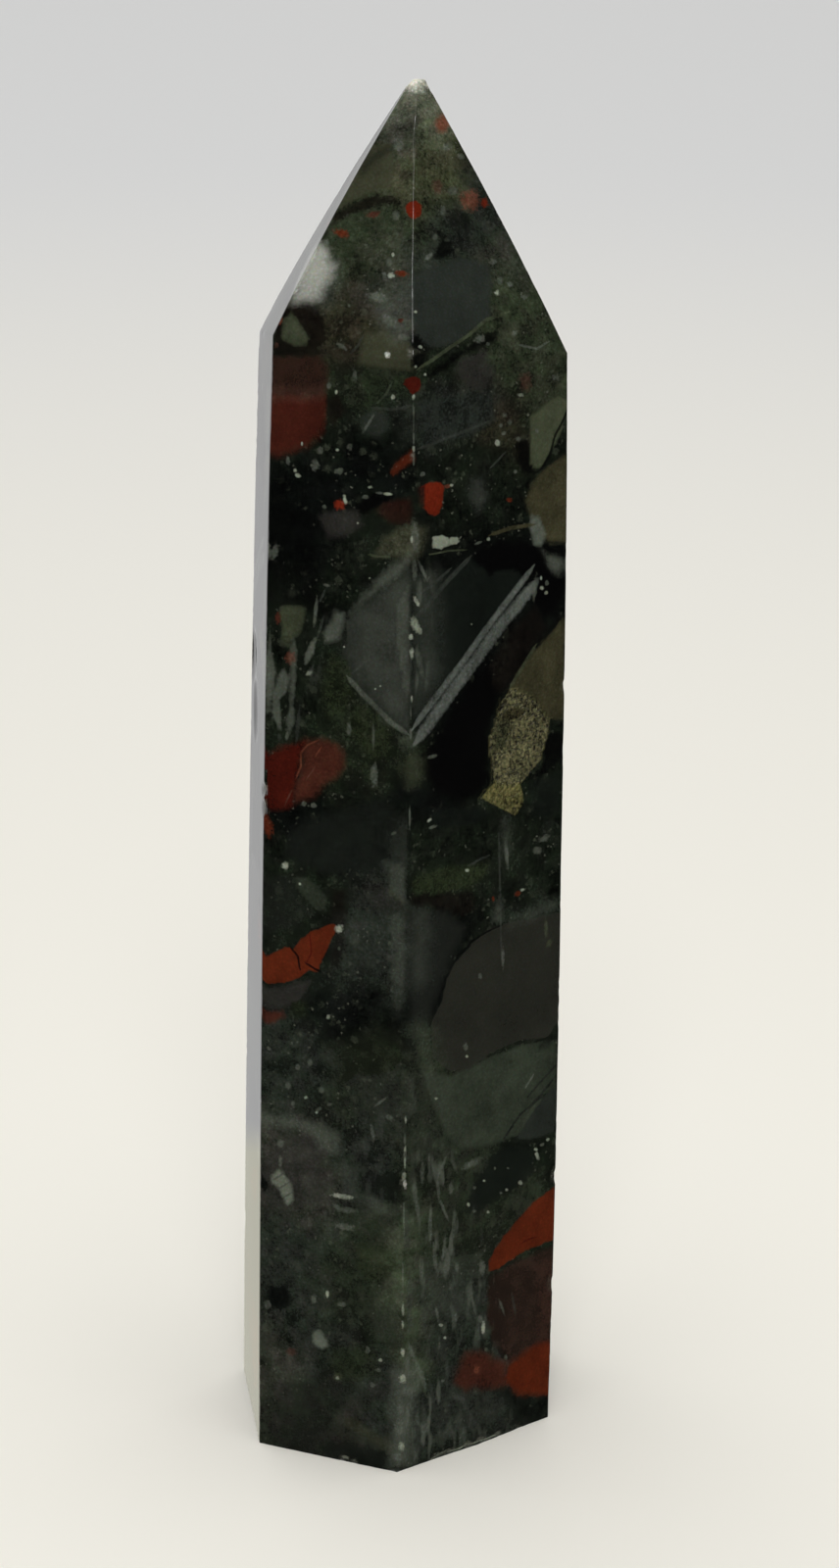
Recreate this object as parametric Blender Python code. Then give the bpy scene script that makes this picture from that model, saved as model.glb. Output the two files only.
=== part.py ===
"""A polished bloodstone tower: one six-sided stone, ground to a point and standing on its cut base.

Metres, +Z up. The origin is on the base, under the point. The front edge faces -Y.
"""

import math
from typing import NamedTuple

import bmesh
import bpy
from mathutils import Matrix, Vector

MM = 0.001

# Heights
POINT_HEIGHT = 141.0 * MM  # where the six pointing facets would meet if the tip were sharp
TIP_HEIGHT = 139.9 * MM  # top of the blunt tip
CROWN_HEIGHT = 114.0 * MM  # length of long face over which its crown swells and dies away

# Rings of points up the stone
BODY_RINGS = 10
POINT_RINGS = 6
BLUNT_AT = 0.93  # share of the way from shoulder to point where the tip is broken off

# Blunt tip: a smaller ring above the break, a little to the right
TIP_TOP_SHARE = 0.55
TIP_TOP_SHIFT = Vector((0.14 * MM, -0.05 * MM, 0.0))

# Polishing rounds every edge a little
EDGE_ROUND = 0.16 * MM
EDGE_STEPS = 2
SHARP_ANGLE = math.radians(14)

STONE_COLOUR = (0.022, 0.027, 0.022, 1.0)
STONE_ROUGHNESS = 0.1


class Face(NamedTuple):
    """One long ground face, seen from above."""

    azimuth: float  # degrees that it turns from facing -Y towards +X
    distance: float  # millimetres from the axis, at the base
    lean: float  # degrees that it leans in towards the axis
    crown_low: float  # millimetres that it swells a third of the way up
    crown_high: float  # and two thirds of the way up


class Corner(NamedTuple):
    """One long edge, between a face and the next, with the edge of the point above it."""

    shoulder: float  # millimetres up to the shoulder
    bow_out: float  # millimetres that the pointing edge bows outwards at its middle
    bow_along: float  # and sideways, anticlockwise from above


FACES = (
    Face(azimuth=-141.4, distance=14.1, lean=1.2, crown_low=0.14, crown_high=-0.18),
    Face(azimuth=-81.4, distance=15.7, lean=0.5, crown_low=0.10, crown_high=0.19),
    Face(azimuth=-21.6, distance=16.1, lean=1.05, crown_low=-0.11, crown_high=-0.15),
    Face(azimuth=37.7, distance=14.1, lean=1.07, crown_low=0.29, crown_high=0.0),
    Face(azimuth=97.6, distance=15.7, lean=0.7, crown_low=0.03, crown_high=0.17),
    Face(azimuth=158.6, distance=16.0, lean=0.9, crown_low=0.12, crown_high=0.1),
)

# Each corner stands between the face of the same place in FACES and the next one.
CORNERS = (
    Corner(shoulder=114.8, bow_out=0.1, bow_along=0.0),
    Corner(shoulder=116.6, bow_out=0.5, bow_along=0.0),
    Corner(shoulder=114.9, bow_out=0.0, bow_along=-0.2),
    Corner(shoulder=114.3, bow_out=0.35, bow_along=0.0),
    Corner(shoulder=115.6, bow_out=0.3, bow_along=0.0),
    Corner(shoulder=113.9, bow_out=0.25, bow_along=0.0),
)


def clear_scene():
    for obj in list(bpy.data.objects):
        bpy.data.objects.remove(obj)


def face_distance(face, height):
    """How far a face stands from the axis at this height: it leans in, and hand polishing crowns it."""
    rise = height / CROWN_HEIGHT
    low = 6.75 * rise * (1 - rise) ** 2
    high = 6.75 * rise**2 * (1 - rise)
    crown = (face.crown_low * low + face.crown_high * high) * MM
    return face.distance * MM - math.tan(math.radians(face.lean)) * height + crown


def outward(face):
    azimuth = math.radians(face.azimuth)
    return Vector((math.sin(azimuth), -math.cos(azimuth)))


def corner_point(place, height):
    """Where two neighbouring faces meet at this height."""
    face, after = FACES[place], FACES[(place + 1) % len(FACES)]
    normals = Matrix((outward(face), outward(after)))
    x, y = normals.inverted() @ Vector((face_distance(face, height), face_distance(after, height)))
    return Vector((x, y, height))


def body_ring(share):
    """The six corners at this share of the way from the base to the shoulder."""
    return [
        corner_point(place, corner.shoulder * MM * share)
        for place, corner in enumerate(CORNERS)
    ]


def point_ring(share):
    """The six edges of the point at this share of the way from the shoulder to where they would meet."""
    ring = []
    peak = Vector((0.0, 0.0, POINT_HEIGHT))
    for place, corner in enumerate(CORNERS):
        shoulder = corner_point(place, corner.shoulder * MM)
        out = Vector((shoulder.x, shoulder.y, 0.0)).normalized()
        along = Vector((-out.y, out.x, 0.0))
        bow = 4 * share * (1 - share) * MM
        swell = out * (corner.bow_out * bow) + along * (corner.bow_along * bow)
        ring.append(shoulder.lerp(peak, share) + swell)
    return ring


def tip_ring():
    """The worn top of the tip, a small ring drawn in from the break."""
    broken = point_ring(BLUNT_AT)
    middle = sum(broken, Vector()) / len(broken)
    ring = [middle.lerp(corner, TIP_TOP_SHARE) + TIP_TOP_SHIFT for corner in broken]
    for corner in ring:
        corner.z = TIP_HEIGHT
    return ring


def add_hoop(bm, ring):
    """A closed loop of edges through the points of a ring."""
    verts = [bm.verts.new(point) for point in ring]
    return [bm.edges.new((verts[i], verts[i - 1])) for i in range(len(verts))]


def loft(bm, rings):
    """Walls between each ring and the next, closed at the base and at the top."""
    hoops = [add_hoop(bm, ring) for ring in rings]
    for lower, upper in zip(hoops, hoops[1:]):
        bmesh.ops.bridge_loops(bm, edges=lower + upper)
    bmesh.ops.holes_fill(bm, edges=hoops[0] + hoops[-1], sides=len(FACES))
    bmesh.ops.recalc_face_normals(bm, faces=bm.faces)


def polished_stone():
    """A dielectric with the stone's mean colour."""
    material = bpy.data.materials.new("polished_bloodstone")
    material.use_nodes = True
    shader = material.node_tree.nodes["Principled BSDF"]
    shader.inputs["Base Color"].default_value = STONE_COLOUR
    shader.inputs["Roughness"].default_value = STONE_ROUGHNESS
    shader.inputs["Metallic"].default_value = 0.0
    return material


def build_tower():
    body = [body_ring(step / BODY_RINGS) for step in range(BODY_RINGS + 1)]
    point = [point_ring(BLUNT_AT * step / POINT_RINGS) for step in range(1, POINT_RINGS + 1)]
    bm = bmesh.new()
    loft(bm, body + point + [tip_ring()])
    mesh = bpy.data.meshes.new("tower")
    bm.to_mesh(mesh)
    bm.free()
    tower = bpy.data.objects.new("tower", mesh)
    bpy.context.scene.collection.objects.link(tower)
    mesh.materials.append(polished_stone())
    mesh.shade_smooth()
    mesh.set_sharp_from_angle(angle=SHARP_ANGLE)
    rounding = tower.modifiers.new("edge_rounding", "BEVEL")
    rounding.width = EDGE_ROUND
    rounding.segments = EDGE_STEPS
    rounding.limit_method = "ANGLE"
    rounding.angle_limit = SHARP_ANGLE
    return tower


clear_scene()
build_tower()
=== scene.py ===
"""Looks of the bloodstone tower: a dark green breccia of jasper and chalcedony, ground and polished.

Each fragment, vein and spot that can be told apart on the two front faces is drawn below, in the
pixels of the 856 x 1600 photograph. Every point of the stone knows where it lies in that picture,
so it also knows how far it is from each border, and the material turns those distances into minerals.
"""

# A few of the marks paint light: the sheen and glints along the front edge, the glare on the tip and the
# highlights on the chipped base edge, as their comments say.
import math
from itertools import starmap
from typing import NamedTuple

import bmesh
import bpy
import numpy as np
from mathutils import Matrix, Vector, noise


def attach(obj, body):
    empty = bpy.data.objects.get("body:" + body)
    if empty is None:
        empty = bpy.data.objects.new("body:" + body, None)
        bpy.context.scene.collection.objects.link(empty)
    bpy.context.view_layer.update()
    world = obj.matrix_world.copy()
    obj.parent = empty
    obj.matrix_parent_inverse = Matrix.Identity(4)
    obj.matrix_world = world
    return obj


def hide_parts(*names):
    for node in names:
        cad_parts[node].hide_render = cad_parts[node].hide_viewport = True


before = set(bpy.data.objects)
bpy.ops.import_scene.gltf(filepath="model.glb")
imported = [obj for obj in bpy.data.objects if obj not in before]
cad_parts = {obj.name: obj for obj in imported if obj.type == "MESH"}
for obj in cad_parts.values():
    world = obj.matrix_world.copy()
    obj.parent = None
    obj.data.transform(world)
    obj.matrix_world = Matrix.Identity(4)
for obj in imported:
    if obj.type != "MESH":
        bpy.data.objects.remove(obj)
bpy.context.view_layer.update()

MM = 0.001

# The camera that took the picture, fitted to the stone's corners
PICTURE_WIDE = 856
PICTURE_TALL = 1600
CAMERA_PLACE = Vector((0.0, -318.55, 168.27)) * MM
CAMERA_PITCH = math.radians(17.283)
CAMERA_YAW = math.radians(0.263)
CAMERA_ROLL = math.radians(1.101)
LENS = 74.95  # millimetres, as the sensor is
SENSOR = 36.0
PIXEL = 0.095  # millimetres of stone under one pixel of the picture

# The ways that the long faces look and the long edges stand, in degrees round from -Y towards +X
FACE_AZIMUTHS = {
    "left": -81,
    "front left": -22,
    "front right": 38,
    "right": 98,
    "back right": 159,
    "back left": -141,
}
LEFT_EDGE = -50
FRONT_EDGE = 8
RIGHT_EDGE = 75
BACK_EDGE = -171
CORNER_HEIGHTS = ((0.0, 0.5), (112, 117.5), (138.5, 139.6))  # millimetres: base, shoulder and tip

# Where the hidden sides take their markings from, in rows and columns of the picture
FOLD = 24  # about how many pixels a fragment on the left or right edge runs on round it
TURNED_OVER = 1590  # the right side takes this row less its own
SLID = 1220  # the left side takes the row this much further down, and turns back at the stone's ends
TOP_ROW = 100  # it turns back at this row
ROWS = 1320  # and at this many rows below it
LAST_COLUMN = 577  # both sides start here and go left

# The hidden side that goes without a striking mineral: 1 right, -1 left
BARE_SIDE = {"vein": 1, "sand": -1, "ochre": -1}

# Fineness of the visual mesh
FRONT_STEP = 0.34 * MM
BACK_STEP = 0.7 * MM
UP_STEP = 0.34 * MM
POINT_STEP = 0.42 * MM

# The CAD stone's rounded edges are strips narrower than STRIP. They are drawn back to lines and
# rounded finer.
MERGED = 0.001 * MM  # points closer than this are one
STRIP = 0.2 * MM
DRAWN_IN = 0.9965  # how much narrower that leaves the stone
ONE_PLANE = math.radians(3)  # triangles that meet flatter than this are one face
ROUNDED = math.radians(12)  # edges sharper than this are rounded
EDGE_ROUND = 0.07 * MM
ACROSS = 0.3 * MM  # mesh edges shorter than this belong to the rounding
RISE = 0.3  # an edge that climbs by less than this share of its length runs across a face
BODY_EDGE = 8 * MM  # edges up the long faces are longer than this
POINT_EDGE = 2 * MM  # and those up the point than this
CREASE = math.radians(5)  # the rounding's points lie on creases sharper than this
SHADED_SHARP = math.radians(16)  # and the light breaks at those sharper than this
LEVEL = 0.95  # a face whose normal is at least this upright is part of the base or the tip
SMOOTHINGS = 6
WEAR = 0.06 * MM  # how deep the edges are bruised
CRUSHED_FROM = 138.7 * MM  # the tip is crushed above this height

# Where hand polishing has left the stone prouder than the CAD solid: the way it stands, the heights
# between which it swells, degrees round over which that dies away, and millimetres
SWELLS = (
    (-111, 114.6, 139.9, 58, 0.46),
    (75, 40.0, 135.0, 30, 0.2),
    (75, 3.0, 62.0, 28, 0.21),
    (38, -9.0, 9.0, 28, 0.3),
)

# Chips out of the edges: x, y, width and height in the picture, depth in millimetres and how raw the
# break is
CHIPS = (
    (270, 806, 6, 16, 0.25, 0.9), (270, 824, 5, 18, 0.28, 0.9), (259, 668, 5, 60, 0.2, 0.0),
    (261, 724, 4, 70, 0.2, 0.0), (565, 1200, 7, 16, 0.25, 0.6), (561, 1310, 7, 20, 0.2, 0.2),
    (405, 1502, 22, 12, 0.4, 0.1), (446, 1487, 14, 10, 0.3, 0.6), (460, 1483, 18, 10, 0.35, 0.8),
    (478, 1476, 12, 9, 0.35, 0.8), (492, 1470, 14, 8, 0.3, 0.9), (508, 1463, 8, 6, 0.25, 0.8),
    (528, 1456, 12, 6, 0.15, 0.3), (351, 1489, 12, 8, 0.3, 0.7), (361, 1492, 8, 6, 0.25, 0.8),
    (300, 1482, 12, 5, 0.15, 0.2), (266, 1475, 10, 8, 0.25, 0.2), (559, 1447, 10, 10, 0.3, 0.2),
    (419, 360, 6, 12, 0.12, 0.6), (575, 700, 6, 14, 0.12, 0.3), (421, 465, 4, 8, 0.08, 0.8),
    (413, 1176, 4, 14, 0.08, 0.8), (412, 1206, 5, 12, 0.1, 0.9),
)


class Mineral(NamedTuple):
    """One kind of stone in the breccia."""

    colour: str  # sRGB hex of its polished face
    grain: float  # 0 is glassy, 1 is sandy


class Oval(NamedTuple):
    """A spot or a soft bed, as it lies in the picture."""

    mineral: str
    x: float
    y: float
    wide: float
    tall: float
    turn: float = 0.0  # degrees clockwise


MINERALS = {
    # the ground between the fragments
    "night": Mineral("161c15", 0.9),
    "soot": Mineral("080b0a", 0.8),
    "pine": Mineral("1e241a", 0.9),
    "bog": Mineral("292f26", 0.5),
    "lead": Mineral("272c28", 0.7),
    "peat": Mineral("2a281f", 0.8),
    "ash": Mineral("363833", 0.6),
    "fern": Mineral("2d3327", 0.8),
    "meadow": Mineral("3f4231", 0.9),
    "drab": Mineral("3f4132", 0.7),
    "lichen": Mineral("5c6152", 0.6),
    "reed": Mineral("434b3d", 0.45),
    # fragments of smooth chalcedony, chert and mudstone
    "jet": Mineral("040404", 0.1),
    "bark": Mineral("15110d", 0.5),
    "navy": Mineral("191d19", 0.25),
    "bottle": Mineral("141915", 0.15),
    "graphite": Mineral("232622", 0.12),
    "slate": Mineral("2d322d", 0.12),
    "shale": Mineral("33322f", 0.2),
    "chert": Mineral("2b2c26", 0.08),
    "leek": Mineral("21271b", 0.2),
    "mudstone": Mineral("3e4030", 0.15),
    "olive": Mineral("413f2c", 0.3),
    "khaki": Mineral("444a38", 0.25),
    "sage": Mineral("363d32", 0.25),
    "moss": Mineral("272f1d", 0.8),
    "sand": Mineral("59573a", 1.6),
    "ochre": Mineral("625f38", 1.2),
    # red jasper
    "jasper": Mineral("6b2210", 0.25),
    "ember": Mineral("5c2512", 0.2),
    "blood": Mineral("44140b", 0.3),
    "clay": Mineral("47241a", 0.3),
    "brick": Mineral("421c13", 0.2),
    "liver": Mineral("2d1e17", 0.25),
    "umber": Mineral("30241e", 0.3),
    "mahogany": Mineral("26100b", 0.4),
    "coral": Mineral("7a4431", 0.3),
    "rose": Mineral("50362d", 0.4),
    # white and grey quartz
    "quartz": Mineral("b0b2a8", 0.1),
    "milk": Mineral("8c9484", 0.15),
    "frost": Mineral("5f655b", 0.2),
    "mist": Mineral("3d413c", 0.2),
    "vein": Mineral("636963", 0.35),
}

GROUND = "night"
GROUND_SHARE = 0.03  # how far the plain ground shows through the beds
BED_EDGE = 1.6  # how fast a bed dies away past its border

# The ground changes softly from place to place, in beds: see Oval
BEDS = (
    ("jet", 284, 612, 50, 50), ("jet", 292, 560, 60, 110), ("jet", 330, 606, 40, 50),
    ("lichen", 416, 108, 100, 60), ("ash", 412, 138, 60, 44), ("drab", 395, 178, 70, 60, 20),
    ("meadow", 448, 165, 50, 90, -25), ("lead", 475, 218, 60, 70, -30), ("fern", 378, 255, 100, 90),
    ("peat", 358, 325, 80, 70), ("ash", 400, 305, 60, 60), ("lead", 428, 260, 50, 44),
    ("fern", 535, 315, 80, 120, -30), ("ash", 520, 272, 40, 60, -30), ("fern", 535, 380, 90, 60),
    ("pine", 380, 400, 90, 50), ("night", 350, 440, 100, 50), ("soot", 375, 475, 90, 60),
    ("soot", 305, 540, 70, 150), ("lead", 455, 420, 90, 50), ("night", 490, 495, 110, 90),
    ("peat", 522, 445, 40, 70), ("night", 370, 590, 90, 50), ("night", 290, 640, 60, 110),
    ("night", 315, 715, 60, 80), ("pine", 365, 745, 110, 100), ("soot", 490, 640, 140, 220, 40),
    ("soot", 430, 815, 70, 54), ("night", 460, 862, 110, 70), ("night", 538, 875, 80, 110),
    ("soot", 300, 826, 80, 40), ("night", 295, 915, 90, 90), ("lead", 385, 975, 70, 120),
    ("soot", 374, 1040, 90, 80), ("pine", 385, 1105, 100, 90), ("lead", 305, 1088, 80, 80),
    ("ash", 300, 1195, 90, 90), ("lead", 378, 1190, 60, 90), ("lead", 305, 1280, 90, 70),
    ("bog", 365, 1300, 80, 120), ("lead", 315, 1350, 90, 70), ("graphite", 318, 1436, 80, 70),
    ("shale", 366, 1452, 36, 60, 30), ("ash", 284, 1400, 40, 90), ("lead", 385, 1435, 80, 60),
    ("reed", 416, 1300, 36, 170), ("bog", 452, 1230, 90, 150), ("lead", 465, 1355, 90, 110),
    ("lead", 480, 1452, 180, 60), ("soot", 535, 1434, 80, 30), ("bog", 525, 1235, 60, 60),
    ("pine", 425, 1095, 60, 80), ("soot", 446, 1000, 50, 130), ("lead", 545, 925, 50, 24, -10),
)

# Fragments: mineral, how solid it looks, millimetres over which its border fades, and its outline
FRAGMENTS = (
    ("mudstone", 0.95, 0.3, ((379, 150), (398, 147), (403, 172), (400, 192), (376, 197), (356, 206),
        (342, 216), (352, 196), (366, 172))),
    ("bark", 0.8, 0.4, ((340, 219), (362, 207), (385, 199), (402, 198), (406, 206), (382, 210), (352, 221),
        (332, 240))),
    ("bark", 0.85, 0.4, ((299, 310), (320, 308), (327, 322), (334, 345), (320, 359), (284, 358),
        (279, 345), (285, 326))),
    ("mudstone", 0.8, 0.5, ((372, 342), (392, 338), (418, 350), (420, 378), (392, 376), (366, 370))),
    ("bark", 0.7, 0.4, ((262, 355), (322, 354), (336, 360), (312, 365), (262, 364))),
    ("jet", 0.85, 0.3, ((440, 262), (448, 249), (458, 246), (462, 256), (452, 264), (441, 267))),
    ("navy", 0.4, 0.5, ((460, 174), (478, 170), (489, 185), (491, 196), (474, 192))),
    ("jet", 0.55, 0.7, ((458, 208), (470, 210), (482, 236), (478, 246), (464, 240), (458, 222))),
    ("slate", 0.95, 0.4, ((419, 283), (440, 272), (470, 263), (486, 266), (498, 270), (503, 290),
        (499, 312), (499, 324), (488, 333), (470, 346), (455, 353), (440, 353), (425, 342), (419, 320))),
    ("jet", 0.9, 0.3, ((419, 342), (427, 340), (432, 350), (429, 358), (420, 356))),
    ("jet", 0.9, 0.3, ((422, 362), (433, 358), (437, 367), (428, 377), (421, 374))),
    ("jet", 0.8, 0.4, ((478, 352), (500, 338), (510, 333), (508, 345), (488, 357), (470, 365), (455, 377),
        (440, 386), (430, 386), (452, 370))),
    ("shale", 0.8, 0.7, ((470, 364), (496, 358), (504, 380), (494, 398), (476, 395), (464, 378))),
    ("liver", 1.0, 0.6, ((262, 362), (325, 362), (333, 372), (336, 388), (333, 403), (262, 403))),
    ("brick", 1.0, 0.9, ((262, 402), (300, 401), (333, 402), (334, 425), (326, 444), (312, 456),
        (290, 464), (262, 467))),
    ("bark", 0.8, 0.5, ((334, 405), (346, 402), (352, 420), (342, 436), (333, 430))),
    ("slate", 0.7, 0.5, ((366, 427), (380, 418), (395, 425), (398, 438), (386, 446), (370, 443))),
    ("shale", 0.7, 0.6, ((325, 527), (345, 520), (362, 522), (369, 535), (355, 546), (335, 547))),
    ("mahogany", 0.7, 0.5, ((388, 512), (420, 508), (420, 536), (396, 533), (384, 522))),
    ("jet", 0.95, 0.5, ((360, 516), (380, 504), (404, 505), (398, 514), (384, 520), (368, 524))),
    ("drab", 0.85, 0.8, ((392, 548), (405, 540), (420, 534), (434, 540), (432, 560), (421, 572),
        (394, 567), (382, 568))),
    ("graphite", 0.9, 0.8, ((419, 582), (398, 598), (372, 616), (353, 636), (349, 666), (356, 692),
        (375, 713), (398, 737), (419, 752))),
    ("bottle", 0.95, 0.4, ((421, 584), (440, 600), (478, 570), (505, 556), (520, 560), (546, 580),
        (500, 640), (450, 712), (421, 752))),
    ("jet", 1.0, 1.0, ((460, 598), (486, 562), (508, 550), (540, 551), (577, 560), (580, 600), (566, 626),
        (553, 636), (546, 618), (545, 586), (520, 604), (500, 622), (478, 614))),
    ("bark", 0.7, 0.8, ((548, 618), (558, 640), (538, 668), (524, 692), (512, 706), (486, 706), (500, 676),
        (524, 640))),
    ("jet", 1.0, 0.9, ((512, 684), (508, 715), (500, 750), (498, 800), (488, 815), (460, 818), (438, 802),
        (430, 772), (452, 736), (482, 692), (496, 676))),
    ("khaki", 0.75, 0.4, ((286, 619), (298, 618), (311, 620), (310, 632), (304, 648), (296, 652),
        (289, 640), (285, 628))),
    ("moss", 0.6, 0.8, ((336, 668), (358, 674), (362, 705), (352, 730), (334, 730), (328, 700))),
    ("moss", 0.6, 0.7, ((362, 716), (380, 722), (398, 748), (398, 770), (380, 776), (366, 760),
        (352, 740))),
    ("navy", 0.9, 1.0, ((305, 842), (345, 830), (390, 815), (400, 830), (416, 845), (417, 885), (365, 894),
        (330, 890), (308, 885), (292, 870), (293, 855))),
    ("sage", 0.65, 0.35, ((300, 894), (312, 895), (325, 906), (335, 918), (331, 930), (318, 925),
        (305, 910))),
    ("graphite", 0.5, 0.8, ((262, 896), (294, 893), (304, 912), (320, 932), (300, 948), (262, 952))),
    ("bark", 0.7, 0.6, ((338, 905), (352, 908), (354, 940), (346, 985), (334, 994), (342, 958),
        (337, 935))),
    ("shale", 0.75, 0.5, ((262, 1010), (300, 1004), (318, 1000), (306, 1022), (290, 1028), (262, 1029))),
    ("moss", 0.5, 0.5, ((298, 1020), (312, 1022), (312, 1036), (296, 1038))),
    ("shale", 0.6, 0.5, ((290, 1158), (325, 1160), (330, 1175), (322, 1190), (344, 1202), (330, 1226),
        (290, 1236), (262, 1232), (272, 1185))),
    ("soot", 0.9, 0.4, ((262, 1198), (274, 1200), (283, 1208), (280, 1220), (262, 1220))),
    ("soot", 0.6, 0.6, ((370, 1204), (384, 1196), (404, 1198), (412, 1212), (404, 1226), (382, 1228),
        (368, 1218))),
    ("soot", 0.9, 0.35, ((275, 1313), (292, 1312), (298, 1330), (286, 1338), (273, 1330))),
    ("moss", 0.4, 0.6, ((340, 1376), (364, 1372), (383, 1380), (388, 1402), (366, 1412), (345, 1404),
        (336, 1390))),
    ("moss", 0.5, 0.6, ((362, 1272), (396, 1268), (404, 1298), (380, 1310), (366, 1296))),
    ("sage", 0.6, 0.7, ((384, 1330), (402, 1330), (404, 1372), (386, 1370), (380, 1350))),
    ("mudstone", 0.45, 0.5, ((352, 1443), (372, 1455), (396, 1469), (406, 1477), (398, 1484), (372, 1468),
        (350, 1452))),
    ("navy", 0.8, 0.5, ((330, 1470), (372, 1474), (404, 1486), (404, 1510), (330, 1500))),
    ("lead", 0.7, 0.4, ((425, 410), (498, 400), (508, 428), (480, 446), (432, 452))),
    ("khaki", 1.0, 0.22, ((541, 425), (556, 413), (570, 404), (580, 408), (573, 440), (561, 462),
        (552, 478), (544, 478), (538, 466), (541, 448))),
    ("jet", 0.85, 0.35, ((529, 450), (539, 448), (542, 474), (548, 484), (534, 482), (527, 470))),
    ("olive", 0.95, 0.4, ((548, 486), (562, 474), (580, 462), (580, 552), (560, 553), (546, 540),
        (536, 510))),
    ("olive", 0.95, 0.3, ((574, 630), (577, 734), (560, 732), (545, 711), (530, 705), (519, 701),
        (527, 688), (546, 663), (560, 650))),
    ("sand", 1.0, 0.12, ((521, 701), (531, 705), (546, 716), (561, 735), (558, 756), (552, 776),
        (536, 793), (530, 801), (505, 800), (502, 776), (498, 757), (506, 735), (512, 715))),
    ("ochre", 1.0, 0.12, ((504, 799), (531, 799), (535, 815), (526, 832), (506, 822), (489, 814),
        (497, 806))),
    ("jet", 0.9, 0.35, ((553, 758), (562, 748), (574, 746), (574, 772), (560, 788), (546, 792),
        (554, 775))),
    ("bottle", 0.7, 0.5, ((538, 800), (572, 786), (572, 830), (544, 834))),
    ("bottle", 0.8, 0.5, ((440, 828), (490, 822), (504, 830), (478, 843), (444, 845))),
    ("moss", 0.75, 0.6, ((421, 897), (446, 885), (500, 881), (496, 894), (478, 907), (450, 913),
        (421, 912))),
    ("bark", 0.7, 0.4, ((419, 914), (455, 911), (483, 911), (486, 930), (470, 934), (450, 927),
        (422, 922))),
    ("graphite", 0.85, 0.9, ((419, 926), (456, 932), (474, 946), (456, 985), (440, 1030), (430, 1064),
        (419, 1058))),
    ("chert", 1.0, 0.12, ((478, 968), (495, 951), (510, 943), (540, 938), (572, 931), (572, 1040),
        (560, 1058), (530, 1062), (500, 1075), (480, 1090), (460, 1093), (442, 1080), (440, 1045),
        (450, 1022), (456, 1000), (463, 984))),
    ("sage", 0.95, 0.35, ((430, 1092), (460, 1098), (500, 1079), (530, 1066), (567, 1062), (567, 1108),
        (546, 1124), (526, 1158), (500, 1168), (470, 1172), (456, 1158), (440, 1120))),
    ("slate", 0.95, 0.3, ((548, 1124), (567, 1108), (566, 1155), (541, 1163), (528, 1161), (536, 1140))),
    ("bottle", 0.9, 0.7, ((500, 1178), (520, 1168), (540, 1170), (547, 1182), (543, 1196), (528, 1210),
        (505, 1224), (486, 1240), (476, 1236), (478, 1216), (490, 1196))),
    ("umber", 1.0, 0.4, ((500, 1304), (530, 1285), (572, 1270), (572, 1366), (542, 1380), (520, 1392),
        (504, 1372), (496, 1340))),
)

# Smaller pieces that lie on a fragment or across its border
INCLUSIONS = (
    ("soot", 0.5, 0.7, ((366, 170), (378, 154), (396, 148), (400, 156), (384, 166), (370, 178))),
    ("khaki", 0.85, 0.35, ((289, 328), (298, 318), (308, 333), (316, 345), (312, 353), (300, 354),
        (287, 347))),
    ("rose", 0.35, 0.6, ((262, 394), (330, 394), (332, 409), (262, 411))),
    ("bark", 0.75, 0.2, ((512, 728), (524, 722), (536, 724), (530, 732), (514, 736))),
    ("pine", 0.7, 0.4, ((503, 738), (514, 732), (522, 742), (516, 764), (502, 768))),
    ("navy", 0.6, 0.3, ((548, 1066), (556, 1060), (564, 1062), (558, 1070), (550, 1072))),
    ("bark", 0.45, 0.8, ((500, 1300), (512, 1296), (520, 1330), (518, 1372), (504, 1368), (497, 1340))),
    ("rose", 0.3, 0.8, ((548, 1290), (572, 1284), (572, 1362), (552, 1368))),
    ("jet", 0.6, 0.3, ((504, 1372), (516, 1378), (520, 1388), (510, 1386))),
)
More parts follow.
